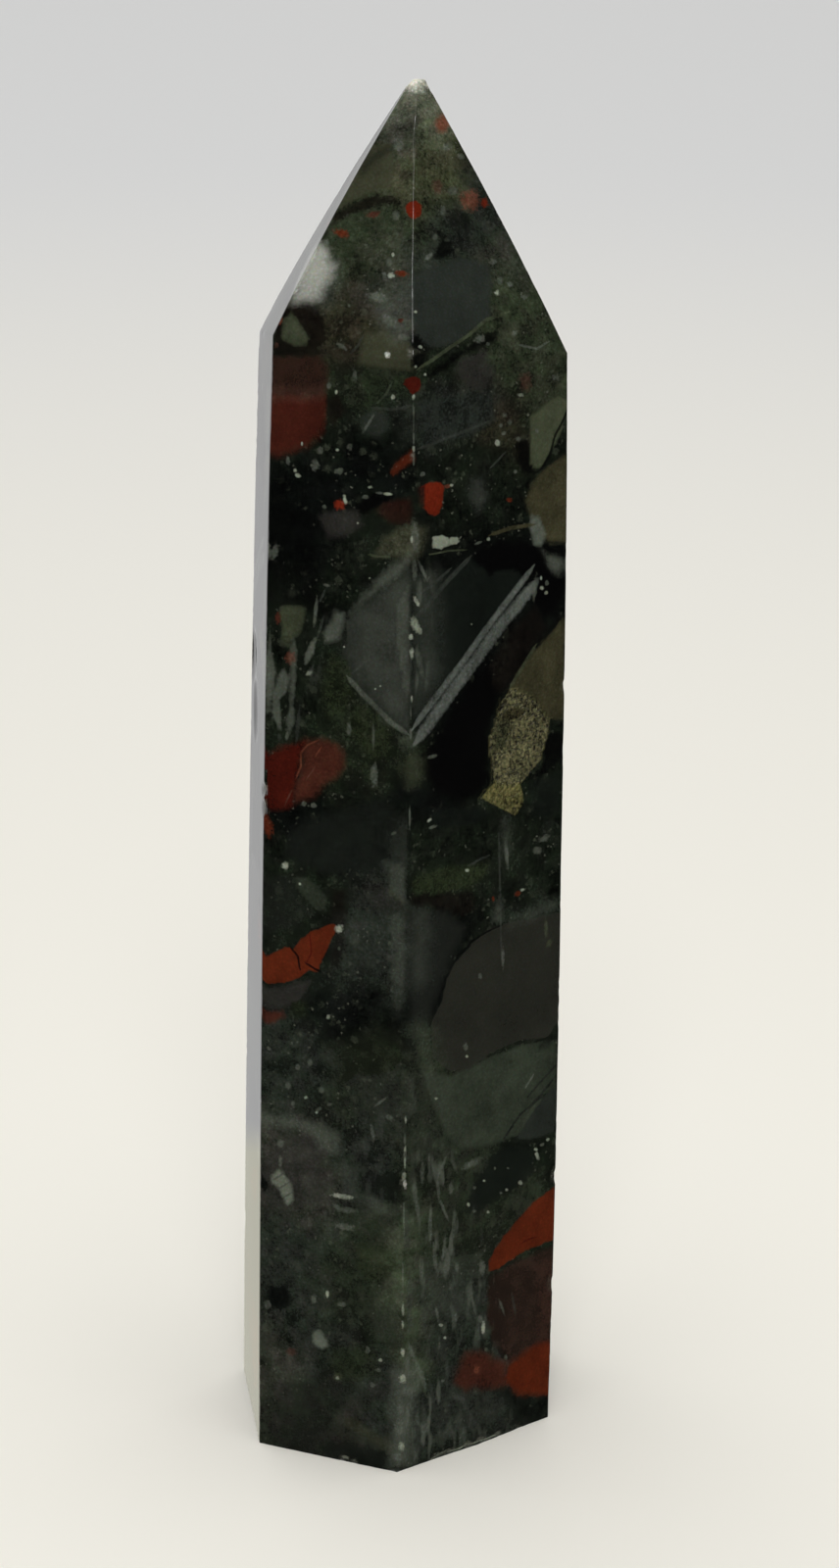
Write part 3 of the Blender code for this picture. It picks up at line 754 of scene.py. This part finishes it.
def stone_blank(camera):
    """The ground stone's mesh, worn and chipped. Its points keep how raw the stone is broken there."""
    bm = bmesh.new()
    worn = bm.verts.layers.float.new("worn")
    broken = bm.verts.layers.float.new("broken")
    sharpened(bm)
    gridded(bm)
    for vert in bm.verts:
        vert[worn] = float(any(edge.calc_face_angle(0.0) > CREASE for edge in vert.link_edges))
    ground_faces = [vert for vert in bm.verts if vert[worn] < 0.5]
    for smoothing in range(SMOOTHINGS):
        bmesh.ops.smooth_vert(bm, verts=ground_faces, factor=0.5, use_axis_x=True, use_axis_y=True)
    swell(bm.verts)
    bruise(bm.verts, worn)
    chip(bm, camera, broken)
    mesh = bpy.data.meshes.new("polished_tower")
    bm.to_mesh(mesh)
    bm.free()
    return mesh


def swell(verts):
    """Fills out the faces and edges that SWELLS lists, most at the middle of each stretch."""
    for stands_at, low, high, dies_over, proud in SWELLS:
        for vert in verts:
            share = (vert.co.z / MM - low) / (high - low)
            away = degrees_apart(azimuth(vert.co), stands_at) / dies_over
            if 0 < share < 1 and away < 1:
                vert.co += outward(stands_at) * 4 * share * (1 - share) * (1 - away) * proud * MM


def bruise(verts, worn):
    """Pushes the rounded edges in by a little here and there, and breaks up the tip."""
    for vert in verts:
        if vert[worn] < 0.5 and vert.co.z < CRUSHED_FROM:
            continue
        inward = Vector((-vert.co.x, -vert.co.y, 0.0)).normalized()
        small = noise.noise(vert.co / (0.7 * MM))
        large = noise.noise(vert.co / (4.0 * MM) + Vector((7.0, 3.0, 1.0)))
        vert.co += inward * max(0.0, small * 0.8 + large * 1.4 - 0.15) * WEAR
        if vert.co.z > CRUSHED_FROM:
            vert.co.z -= abs(small) * 2.5 * WEAR


def chip(bm, camera, broken):
    """Takes the chips out of the edges that the camera sees, and marks how raw each point is left."""
    bm.normal_update()
    bm.verts.ensure_lookup_table()
    points = np.array([vert.co for vert in bm.verts])
    looks = np.array([vert.normal for vert in bm.verts])
    turned_away = np.sum(looks * (points - np.array(camera.location)), axis=1)
    # Points a little past the rim count as seen, so that a chip breaks the outline
    seen = turned_away < 0.3 * np.linalg.norm(points, axis=1)
    places = project(camera, points)
    for x, y, wide, tall, depth, raw in CHIPS:
        away = np.hypot((places[:, 0] - x) / (wide / 2), (places[:, 1] - y) / (tall / 2))
        for index in np.flatnonzero((away < 1) & seen):
            vert = bm.verts[index]
            ragged = max(0.0, 1 + 0.9 * raw * noise.noise(vert.co / (0.35 * MM)))
            inward = Vector((-vert.normal.x, -vert.normal.y, 0.0)).normalized()
            hollow = depth * MM * (1 - away[index] ** 2)
            vert.co += inward * hollow * ragged
            if vert.co.z < MM:
                vert.co.z += 0.5 * hollow
            vert[broken] = max(vert[broken], raw * min(1.0, 2.5 * (1 - away[index])))


def long_edge(stands_at):
    """Points of one long edge of the CAD stone, from base to tip, lowest first."""
    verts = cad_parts["tower"].data.vertices
    points = []
    for low, high in CORNER_HEIGHTS:
        band = [v.co for v in verts if low * MM <= v.co.z <= high * MM]
        points.append(max(band, key=outward(stands_at).dot))
    points.append(Vector((0.0, 0.0, max(v.co.z for v in verts))))
    return np.array(points)


def project(camera, points):
    """Pixels of the picture where points in space are seen."""
    focal = LENS / SENSOR * PICTURE_TALL
    local = np.c_[points, np.ones(len(points))] @ np.array(camera.matrix_world.inverted()).T
    x = PICTURE_WIDE / 2 + focal * local[:, 0] / -local[:, 2]
    y = PICTURE_TALL / 2 - focal * local[:, 1] / -local[:, 2]
    return np.c_[x, y]


def picture_places(camera, points):
    """Where each point of the stone lies in the picture, and its hidden side: 1 right, -1 left, 0 neither.

    Round the left and right edges the picture first folds back, so that a fragment on an edge runs on
    round it. Past a wavy line the rest of each hidden side takes its markings from elsewhere in the
    picture: the right one from the picture upside down, the left one from the picture slid downwards.
    """
    places = project(camera, points)
    side = np.zeros(len(points), int)
    height = points[:, 2] / MM
    seam = BACK_EDGE + 5 * np.sin(height / 6) + 3 * np.sin(height / 2.3 + 1)
    around = azimuths(points)
    around = np.where(around < seam, around + 360, around)
    reach = np.hypot(points[:, 0], points[:, 1]) / MM
    fold = FOLD + 16 * np.sin(height / 5 + 2) + 9 * np.sin(height / 1.7)
    for sign, stands_at in ((-1, LEFT_EDGE), (1, RIGHT_EDGE)):
        edge = long_edge(stands_at)
        on_edge = np.c_[[np.interp(points[:, 2], edge[:, 2], edge[:, axis]) for axis in range(3)]].T
        past = sign * (around - azimuths(on_edge))
        hidden = past > 0
        turned = np.radians(past[hidden]) * reach[hidden] / PIXEL
        column, row = project(camera, on_edge[hidden]).T
        folded = turned < fold[hidden]
        if sign > 0:
            down = TURNED_OVER - row
        else:
            down = TOP_ROW + np.abs((row + 0.5 * turned + SLID) % (2 * ROWS) - ROWS)
        places[hidden] = np.c_[
            np.where(folded, column - sign * 0.7 * turned, LAST_COLUMN - 0.84 * turned),
            np.where(folded, row - sign * 0.9 * turned, down),
        ]
        side[hidden] = np.where(folded, 0, sign)
    return places, side


def outline_distance(points, outline):
    """Pixels from each point to an outline, negative inside it."""
    starts = np.array(outline, float)
    ends = np.roll(starts, -1, axis=0)
    best = np.full(len(points), np.inf)
    inside = np.zeros(len(points), bool)
    for (ax, ay), (bx, by) in zip(starts, ends):
        along = np.array((bx - ax, by - ay))
        share = np.clip((points - (ax, ay)) @ along / (along @ along), 0, 1)
        best = np.minimum(best, np.linalg.norm(points - (ax, ay) - share[:, None] * along, axis=1))
        if ay != by:
            crosses = (ay > points[:, 1]) != (by > points[:, 1])
            inside ^= crosses & (points[:, 0] < ax + (points[:, 1] - ay) * (bx - ax) / (by - ay))
    return np.where(inside, -best, best)


def near(points, side, mineral, low, high, margin):
    """The points close to a mark, apart from those on a hidden side that goes without its mineral."""
    inside = np.all((points > np.array(low) - margin) & (points < np.array(high) + margin), axis=1)
    return np.flatnonzero(inside & (side != BARE_SIDE.get(mineral)))


def store(mesh, name, kind, values):
    """Keeps values at the points of the mesh, as an attribute that the material reads."""
    data = mesh.attributes.new(name, kind, "POINT").data
    data.foreach_set("vector" if kind == "FLOAT_VECTOR" else "color", values.astype(np.float32).ravel())


def lay_beds(mesh, places):
    """The ground's colour and grain at each point, blended from the soft beds."""
    x, y = places.T
    swayed = places + np.c_[
        9 * np.sin(y / 23 + 1.3) + 6 * np.sin(y / 9.1 + x / 31),
        9 * np.sin(x / 19 + 0.4) + 6 * np.sin(x / 8.3 - y / 27),
    ]
    ground = MINERALS[GROUND]
    total = np.full(len(places), GROUND_SHARE)
    blended = total[:, None] * np.array(linear(ground.colour)[:3] + (ground.grain,))
    for bed in starmap(Oval, BEDS):
        mineral = MINERALS[bed.mineral]
        across, down = turned_offsets(swayed, bed)
        weight = np.exp(-BED_EDGE * ((across / (bed.wide / 2)) ** 2 + (down / (bed.tall / 2)) ** 2))
        blended += weight[:, None] * np.array(linear(mineral.colour)[:3] + (mineral.grain,))
        total += weight
    store(mesh, "beds", "FLOAT_COLOR", blended / total[:, None])


def turned_offsets(places, oval):
    """Pixels from an oval's centre, across it and down it."""
    dx = places[:, 0] - oval.x
    dy = places[:, 1] - oval.y
    cos, sin = math.cos(math.radians(oval.turn)), math.sin(math.radians(oval.turn))
    return dx * cos + dy * sin, dy * cos - dx * sin


def lay_areas(mesh, places, side, layer, right_of_edge):
    """For one layer of outlines: each point's distance to the nearest border, and what lies inside it."""
    border = np.tile((FAR, 0.1, 0.1), (len(places), 1))
    colour = np.zeros((len(places), 4))
    for name, strength, blend, outline, *keeps_to in LAYERS[layer]:
        mineral = MINERALS[name]
        low, high = np.min(outline, axis=0), np.max(outline, axis=0)
        close = near(places, side, name, low, high, FAR / PIXEL)
        distance = outline_distance(places[close], outline) * PIXEL
        if keeps_to:
            beyond = right_of_edge[close] * (-1 if keeps_to[0] == "right" else 1)
            distance = np.maximum(distance, beyond * PIXEL * VEIL_STOP)
        nearer = distance < border[close, 0]
        chosen = close[nearer]
        border[chosen] = np.c_[distance[nearer], np.full((len(chosen), 2), (blend, mineral.grain))]
        colour[chosen] = linear(mineral.colour)[:3] + (strength,)
    store(mesh, layer + "_border", "FLOAT_VECTOR", border)
    store(mesh, layer + "_colour", "FLOAT_COLOR", colour)


def spot_measure(spot):
    """Lowest and highest corner of a spot, and the function that measures places against it.

    It gives a pair of numbers for each place, as long as 1 on the spot's border, and the pixels beyond it.
    """
    spot = Oval(*spot)
    reach = max(spot.wide, spot.tall) / 2

    def measure(places):
        across, down = turned_offsets(places, spot)
        pair = np.c_[across / (spot.wide / 2), down / (spot.tall / 2)]
        length = np.maximum(np.hypot(pair[:, 0], pair[:, 1]), 0.01)
        return pair, np.hypot(across, down) * (1 - 1 / length)

    return (spot.x - reach, spot.y - reach), (spot.x + reach, spot.y + reach), measure


def vein_measure(vein):
    """The same for a vein, which tapers at both ends."""
    name, half_width, line = vein
    line = np.array(line, float)
    lengths = np.linalg.norm(np.diff(line, axis=0), axis=1)

    def measure(places):
        best = np.full(len(places), np.inf)
        pair = np.zeros((len(places), 2))
        walked = 0.0
        for start, end, length in zip(line, line[1:], lengths):
            along = (end - start) / length
            offset = places - start
            share = offset @ along
            sideways = offset[:, 0] * -along[1] + offset[:, 1] * along[0]
            distance = np.hypot(sideways, share - np.clip(share, 0, length))
            middle = (walked + share) / lengths.sum() * 2 - 1
            taper = 1 / np.sqrt(np.clip(1 - middle**12, 0.1, 1))
            beyond = np.maximum(np.abs(middle) - 1, 0) * lengths.sum() / 2 / half_width
            nearer = distance < best
            best[nearer] = distance[nearer]
            pair[nearer] = np.c_[sideways / half_width * taper, beyond][nearer]
            walked += length
        return pair, best - half_width

    return line.min(axis=0), line.max(axis=0), measure


def lay_marks(mesh, places, side, kind, marks, measured):
    """Spots or veins, shared out over groups in which no two come close to each other.

    A group keeps one pair of numbers at each point, so that even a spot smaller than the mesh is sharp.
    """
    groups = []
    for mark in marks:
        mineral = mark[0]
        low, high, measure = measured(mark)
        close = near(places, side, mineral, low, high, CLEAR_AROUND)
        pair, beyond = measure(places[close])
        beside = close[beyond < CLEAR_AROUND]
        held = beyond < HELD_AROUND
        if not held.any():
            continue
        group = next((g for g in groups if not g["held"][beside].any()), None)
        if group is None:
            group = {
                "held": np.zeros(len(places), bool),
                "pair": np.tile((0.0, 0.0, 9.0), (len(places), 1)),
                "colour": np.zeros((len(places), 4)),
            }
            groups.append(group)
        strength = MARK_STRENGTH.get(mineral, OTHER_MARKS)
        group["held"][close[held]] = True
        group["pair"][close[held]] = np.c_[pair[held], np.zeros(held.sum())]
        group["colour"][beside] = linear(MINERALS[mineral].colour)[:3] + (strength,)
    names = [f"{kind}_{index}" for index in range(len(groups))]
    for name, group in zip(names, groups):
        store(mesh, name, "FLOAT_VECTOR", group["pair"])
        store(mesh, name + "_colour", "FLOAT_COLOR", group["colour"])
    return names


def add(tree, kind, inputs=None, **settings):
    """Adds a node with its settings and with its inputs set or linked, and gives its outputs."""
    node = tree.nodes.new("ShaderNode" + kind)
    for name, value in settings.items():
        setattr(node, name, value)
    for socket, value in (inputs or {}).items():
        if isinstance(value, bpy.types.NodeSocket):
            tree.links.new(value, node.inputs[socket])
        else:
            node.inputs[socket].default_value = value
    return node.outputs


class Rock(NamedTuple):
    """What every part of the stone's material draws on."""

    tree: bpy.types.NodeTree
    place: bpy.types.NodeSocket
    noise: dict  # each noise's colour
    swing: dict  # and its three channels, spread to swing about 0
    paling: bpy.types.NodeSocket  # the pale half of the grit
    tinge: bpy.types.NodeSocket  # the grit's faint colours


def stirred_rock(tree):
    """The noises that stir every mineral, each with its size in millimetres."""
    place = add(tree, "TexCoord")["Object"]
    colours, swing = {}, {}
    for name, (size, detail, roughness, reach) in NOISES.items():
        inputs = {"Vector": place, "Scale": 1 / size / MM, "Detail": detail, "Roughness": roughness}
        colours[name] = add(tree, "TexNoise", inputs)["Color"]
        spread = {1: 0.5 - reach, 2: 0.5 + reach, 3: -1.0, 4: 1.0}
        parts = add(tree, "SeparateColor", {"Color": colours[name]})
        swing[name] = [add(tree, "MapRange", {0: part, **spread}, clamp=False)[0] for part in parts]
    paling = add(tree, "MapRange", {0: swing["grit"][2], 1: 0.0, 2: 1.526, 3: -0.1, 4: 1.0})[0]
    faint = {0: colours["grit"], 1: (0.52,) * 3, 2: (0.74,) * 3}
    tinge = add(tree, "VectorMath", faint, operation="MULTIPLY_ADD")[0]
    return Rock(tree, place, colours, swing, paling, tinge)


def shaded(rock, colour, grain, clouding):
    """A mineral's colour, made lighter and darker by its grain: coarse up to a point, fine beyond."""
    tree, swing = rock.tree, rock.swing
    coarse = add(tree, "Math", {0: grain, 1: 0.5}, operation="MINIMUM")[0]
    lift = add(tree, "Math", {0: swing["drifts"][0], 1: clouding, 2: 1.0}, operation="MULTIPLY_ADD")[0]
    for stir, amount, share, least in (
        (swing["blotches"][0], coarse, 0.8, 0.0),
        (swing["grains"][0], grain, 0.34, 0.0),
        (swing["grit"][0], grain, 0.14, 0.0),
        (rock.paling, grain, 0.9, 0.12),
    ):
        reach = add(tree, "Math", {0: amount, 1: share, 2: least}, operation="MULTIPLY_ADD")[0]
        lift = add(tree, "Math", {0: stir, 1: reach, 2: lift}, operation="MULTIPLY_ADD")[0]
    held = add(tree, "Math", {0: lift, 1: 0.15}, operation="MAXIMUM")[0]
    tinged = add(tree, "VectorMath", {0: colour, 1: rock.tinge}, operation="MULTIPLY")[0]
    return add(tree, "VectorMath", {0: tinged, "Scale": held}, operation="SCALE")[0]


def ground(rock):
    """The soft beds with their pebbles and crumbs, and how sandy each place is."""
    tree, place, swing = rock.tree, rock.place, rock.swing
    beds = add(tree, "Attribute", attribute_name="beds")
    sandy = beds["Alpha"]
    colour = shaded(rock, beds["Color"], sandy, 0.22)

    # Pebbles that have blurred into the beds, each of a tone of its own
    sway = {0: rock.noise["grains"], 1: (0.45 * MM,) * 3, 2: place}
    swayed = add(tree, "VectorMath", sway, operation="MULTIPLY_ADD")[0]
    cells = {"Vector": swayed, "Scale": 1 / PEBBLE, "Smoothness": 0.7}
    pebbles = add(tree, "TexVoronoi", cells, feature="SMOOTH_F1")["Color"]
    draws = add(tree, "SeparateColor", {"Color": pebbles})
    tone = add(tree, "MapRange", {0: draws[0], 1: 0.2, 2: 0.8, 3: 0.72, 4: 1.32}, clamp=False)[0]
    toned = add(tree, "VectorMath", {0: colour, "Scale": tone}, operation="SCALE")[0]
    share = add(tree, "Math", {0: sandy, 1: 0.9}, operation="MULTIPLY")[0]
    colour = add(tree, "Mix", {0: share, 6: colour, 7: toned}, data_type="RGBA")[2]
    greened = add(tree, "VectorMath", {0: colour, 1: (0.98, 1.04, 0.9)}, operation="MULTIPLY")[0]
    browned = add(tree, "VectorMath", {0: colour, 1: (1.05, 0.98, 0.96)}, operation="MULTIPLY")[0]
    brown = add(tree, "MapRange", {0: draws[1], 1: 0.3, 2: 0.7})[0]
    colour = add(tree, "Mix", {0: brown, 6: greened, 7: browned}, data_type="RGBA")[2]

    # Crumbs of every size, which gather in drifts
    crumble = {0: rock.noise["grit"], 1: (0.37 * MM,) * 3, 2: place}
    crumbled = add(tree, "VectorMath", crumble, operation="MULTIPLY_ADD")[0]
    gathered = add(tree, "MapRange", {0: swing["drifts"][1], 1: -0.714, 2: 0.714, 3: 0.15})[0]
    for size, low, high, strength, crumb_colour in CRUMBS:
        crumbs = add(tree, "TexVoronoi", {"Vector": crumbled, "Scale": 1 / size / MM}, feature="F1")
        draws = add(tree, "SeparateColor", {"Color": crumbs["Color"]})
        wobble = {0: swing["grit"][1], 1: 0.1558, 2: crumbs["Distance"]}
        uneven = add(tree, "Math", wobble, operation="MULTIPLY_ADD")[0]
        core = add(tree, "MapRange", {0: uneven, 1: 0.5, 2: 0.2})[0]
        share = add(tree, "MapRange", {0: draws[0], 1: low, 2: high, 4: strength})[0]
        for limit in (core, gathered, sandy):
            share = add(tree, "Math", {0: share, 1: limit}, operation="MULTIPLY")[0]
        colour = add(tree, "Mix", {0: share, 6: colour, 7: linear(crumb_colour)}, data_type="RGBA")[2]
    return colour, sandy


def barbs(rock):
    """Barbs of quartz: noise drawn out down the stone."""
    tree = rock.tree
    stretch = {0: rock.place, 1: [1 / length for length in BARB]}
    drawn_out = add(tree, "VectorMath", stretch, operation="MULTIPLY")[0]
    fibres = {"Vector": drawn_out, "Scale": 1.0, "Detail": 1.5, "Distortion": 0.15}
    return add(tree, "MapRange", {0: add(tree, "TexNoise", fibres)[0], 1: 0.53, 2: 0.66})[0]


def layered(rock, colour, sandy):
    """Lays the outlined pieces over the ground, their borders made to wander a little."""
    tree, swing = rock.tree, rock.swing
    barb = barbs(rock)
    for index, layer in enumerate(LAYERS):
        fill = add(tree, "Attribute", attribute_name=layer + "_colour")
        border = add(tree, "Attribute", attribute_name=layer + "_border")["Vector"]
        distance, blend, grain = add(tree, "SeparateXYZ", {0: border})
        jitter = {0: swing["grains"][index % 3], 1: 0.25, 2: swing["blotches"][index % 3]}
        ragged = add(tree, "Math", jitter, operation="MULTIPLY_ADD")[0]
        reach = add(tree, "Math", {0: blend, 1: 0.176, 2: 0.08}, operation="MULTIPLY_ADD")[0]
        wandering = add(tree, "Math", {0: ragged, 1: reach, 2: distance}, operation="MULTIPLY_ADD")[0]
        outer = add(tree, "Math", {0: blend, 1: 0.75}, operation="MULTIPLY")[0]
        inner = add(tree, "Math", {0: blend, 1: -0.75}, operation="MULTIPLY")[0]
        fade = {0: wandering, 1: outer, 2: inner, 4: fill["Alpha"]}
        inside = add(tree, "MapRange", fade, interpolation_type="SMOOTHSTEP")[0]
        if layer == "feathers":
            inside = add(tree, "Math", {0: inside, 1: barb}, operation="MULTIPLY")[0]
        piece = shaded(rock, fill["Color"], grain, 0.12)
        colour = add(tree, "Mix", {0: inside, 6: colour, 7: piece}, data_type="RGBA")[2]
        # Veils, the painted sheen among them, and feathers leave the grain as it is; the veils and feathers
        # lie under the polish
        if layer not in ("veils_and_sheen", "feathers"):
            sandy = add(tree, "Mix", {0: inside, 2: sandy, 3: grain}, data_type="FLOAT")[0]
    return colour, sandy


def marked(rock, colour, marks):
    """Lays the veins and spots over the rest."""
    tree, swing = rock.tree, rock.swing
    for index, name in enumerate(marks):
        by_grit, by_blotches = MARK_WANDER[name.split("_")[0]]
        fill = add(tree, "Attribute", attribute_name=name + "_colour")
        pair = add(tree, "Attribute", attribute_name=name)["Vector"]
        length = add(tree, "VectorMath", {0: pair}, operation="LENGTH")["Value"]
        for stir, reach in ((swing["grit"], by_grit), (swing["blotches"], by_blotches)):
            length = add(tree, "Math", {0: stir[index % 3], 1: reach, 2: length}, operation="MULTIPLY_ADD")[0]
        fade = {0: length, 1: 1.3, 2: 0.5, 4: fill["Alpha"]}
        inside = add(tree, "MapRange", fade, interpolation_type="SMOOTHSTEP")[0]
        mineral = shaded(rock, fill["Color"], 0.45, 0.1)
        colour = add(tree, "Mix", {0: inside, 6: colour, 7: mineral}, data_type="RGBA")[2]
    return colour


def polished_breccia(marks):
    """Chalcedony and jasper breccia, sawn, diamond-ground and polished.

    The polish gives the deep wet colour and a clear reflection; the sandy pieces stay a little duller
    because their grains break out under the wheel, and the tip is crushed white.
    """
    material = bpy.data.materials.new("polished_bloodstone_breccia")
    material.use_nodes = True
    tree = material.node_tree
    shader = tree.nodes["Principled BSDF"]
    shader.inputs["IOR"].default_value = 1.54
    rock = stirred_rock(tree)
    grains = rock.swing["grains"]
    colour, sandy = layered(rock, *ground(rock))
    colour = marked(rock, colour, marks)

    # Pits where grains have broken out of the sandy pieces, darkened there with painted shade
    pitted = add(tree, "MapRange", {0: sandy, 1: 0.95, 2: 1.3, 4: 0.85})[0]
    gaps = add(tree, "MapRange", {0: grains[2], 1: 0.1875, 2: 0.625})[0]
    pores = add(tree, "Math", {0: pitted, 1: gaps}, operation="MULTIPLY")[0]
    pit_shade = add(tree, "VectorMath", {0: colour, "Scale": 0.22}, operation="SCALE")[0]
    colour = add(tree, "Mix", {0: pores, 6: colour, 7: pit_shade}, data_type="RGBA")[2]

    # The tip, where the stone is crushed: white, ragged below and rough
    height = add(tree, "SeparateXYZ", {0: rock.place})[2]
    ragged = add(tree, "Math", {0: grains[1], 1: 0.2 * MM, 2: height}, operation="MULTIPLY_ADD")[0]
    crushed = add(tree, "MapRange", {0: ragged, 1: CRUSHED_FROM, 2: CRUSHED_FROM + 0.7 * MM})[0]
    powder = shaded(rock, linear("e6e4d2")[:3], 0.5, 0.0)
    colour = add(tree, "Mix", {0: crushed, 6: colour, 7: powder}, data_type="RGBA")[2]

    # Chips, left raw and pale
    raw = add(tree, "Attribute", attribute_name="broken")["Fac"]
    patchy = add(tree, "MapRange", {0: grains[0], 1: -0.625, 2: 0.625, 3: 0.3})[0]
    bruised = add(tree, "Math", {0: raw, 1: patchy}, operation="MULTIPLY")[0]
    paled = add(tree, "Math", {0: bruised, 1: 0.6}, operation="MULTIPLY")[0]
    colour = add(tree, "Mix", {0: paled, 6: colour, 7: linear("8a8a7c")}, data_type="RGBA")[2]
    tree.links.new(colour, shader.inputs["Base Color"])

    polish = add(tree, "MapRange", {0: sandy, 1: 0.7, 2: 1.6, 3: 0.07, 4: 0.3})[0]
    unpolished = add(tree, "Math", {0: crushed, 1: bruised}, operation="MAXIMUM")[0]
    roughness = add(tree, "Mix", {0: unpolished, 2: polish, 3: 0.6}, data_type="FLOAT")[0]
    tree.links.new(roughness, shader.inputs["Roughness"])
    lumps = add(tree, "Math", {0: grains[0], 1: 0.16, 2: 0.5}, operation="MULTIPLY_ADD")[0]
    crumbly = add(tree, "Math", {0: crushed, 1: lumps}, operation="MULTIPLY")[0]
    relief = add(tree, "Math", {0: crumbly, 1: pores}, operation="SUBTRACT")[0]
    bump = {"Strength": 0.7, "Distance": 0.12 * MM, "Height": relief}
    tree.links.new(add(tree, "Bump", bump)["Normal"], shader.inputs["Normal"])
    return material


def make_stone(camera):
    """The one piece: the ground stone, with its markings laid on."""
    mesh = stone_blank(camera)
    points = np.zeros(len(mesh.vertices) * 3)
    mesh.vertices.foreach_get("co", points)
    points = points.reshape(-1, 3)
    places, side = picture_places(camera, points)
    front_edge = long_edge(FRONT_EDGE)
    edge_column = np.interp(points[:, 2], front_edge[:, 2], project(camera, front_edge)[:, 0])
    right_of_edge = places[:, 0] - edge_column
    lay_beds(mesh, places)
    for layer in LAYERS:
        lay_areas(mesh, places, side, layer, right_of_edge)
    marks = lay_marks(mesh, places, side, "veins", VEINS, vein_measure)
    marks += lay_marks(mesh, places, side, "spots", SPOTS, spot_measure)
    stone = bpy.data.objects.new("polished_tower", mesh)
    bpy.context.scene.collection.objects.link(stone)
    mesh.materials.append(polished_breccia(marks))
    mesh.shade_smooth()
    mesh.set_sharp_from_angle(angle=SHADED_SHARP)
    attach(stone, "root")
    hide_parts("tower")


def make_floor():
    """A plain pale floor, matt, painted a little greyer further off as the light falls away.

    The polish doesn't mirror it.
    """
    bm = bmesh.new()
    bmesh.ops.create_circle(bm, cap_ends=True, segments=96, radius=4.0)
    mesh = bpy.data.meshes.new("floor")
    bm.to_mesh(mesh)
    bm.free()
    floor = bpy.data.objects.new("floor", mesh)
    bpy.context.scene.collection.objects.link(floor)
    material = bpy.data.materials.new("pale_matt_board")
    material.use_nodes = True
    tree = material.node_tree
    shader = tree.nodes["Principled BSDF"]
    shader.inputs["Roughness"].default_value = 0.9
    shader.inputs["Specular IOR Level"].default_value = 0.1
    place = add(tree, "TexCoord")["Object"]
    away = add(tree, "VectorMath", {0: place}, operation="LENGTH")["Value"]
    # painted fall-off of the light: the board greyer further from the stone
    painted_fall_off = add(tree, "MapRange", {0: away, 1: 0.1, 2: 1.2}, interpolation_type="SMOOTHSTEP")[0]
    board = add(tree, "Mix", {0: painted_fall_off, 6: linear("f9f6ec"), 7: linear("e9e9e8")}, data_type="RGBA")[2]
    tree.links.new(board, shader.inputs["Base Color"])
    mesh.materials.append(material)
    floor.visible_glossy = False


def area_light(name, place, towards, size, power):
    """A round soft light that faces a point."""
    data = bpy.data.lights.new(name, "AREA")
    data.shape = "DISK"
    data.size = size
    data.energy = power
    light = bpy.data.objects.new(name, data)
    bpy.context.scene.collection.objects.link(light)
    light.location = place
    light.rotation_euler = (Vector(towards) - Vector(place)).to_track_quat("-Z", "Y").to_euler()


def make_light():
    """Soft studio light: bright overhead, a pale glow behind on the left, and dark in front.

    Low down the glow is a little stronger and warmer. The camera itself sees a plain pale backdrop.
    """
    world = bpy.data.worlds.new("studio")
    bpy.context.scene.world = world
    world.use_nodes = True
    tree = world.node_tree
    background = tree.nodes["Background"]
    direction = add(tree, "TexCoord")["Generated"]
    height = add(tree, "SeparateXYZ", {0: direction})[2]
    behind_left = {0: direction, 1: (-0.57, 0.82, 0.0)}
    facing = add(tree, "VectorMath", behind_left, operation="DOT_PRODUCT")["Value"]
    fade = {0: facing, 1: 0.6, 2: 0.82, 4: 0.6}
    glow = add(tree, "MapRange", fade, interpolation_type="SMOOTHSTEP")[0]
    low_down = add(tree, "MapRange", {0: height, 1: -0.394, 2: -0.402})[0]
    stronger = add(tree, "Math", {0: low_down, 1: 0.26, 2: 1.0}, operation="MULTIPLY_ADD")[0]
    glow = add(tree, "Math", {0: glow, 1: stronger}, operation="MULTIPLY")[0]
    tint = add(tree, "Mix", {0: low_down, 6: linear("ffffff"), 7: linear("fffdeb")}, data_type="RGBA")[2]
    rise = {0: height, 1: 0.76, 2: 0.92, 3: 0.02, 4: 2.4}
    overhead = add(tree, "MapRange", rise, interpolation_type="SMOOTHSTEP")[0]
    mirrored = add(tree, "Math", {0: glow, 1: overhead}, operation="ADD")[0]
    seen = add(tree, "LightPath")["Is Camera Ray"]
    strength = add(tree, "Mix", {0: seen, 2: mirrored, 3: 0.75}, data_type="FLOAT")[0]
    tree.links.new(tint, background.inputs["Color"])
    tree.links.new(strength, background.inputs["Strength"])
    area_light("high_front_softbox", (0.0, -0.95, 1.0), (0.0, 0.0, 0.06), 0.5, 4.6)


bpy.context.scene.view_settings.view_transform = "Standard"
camera = set_camera()
make_stone(camera)
make_floor()
make_light()
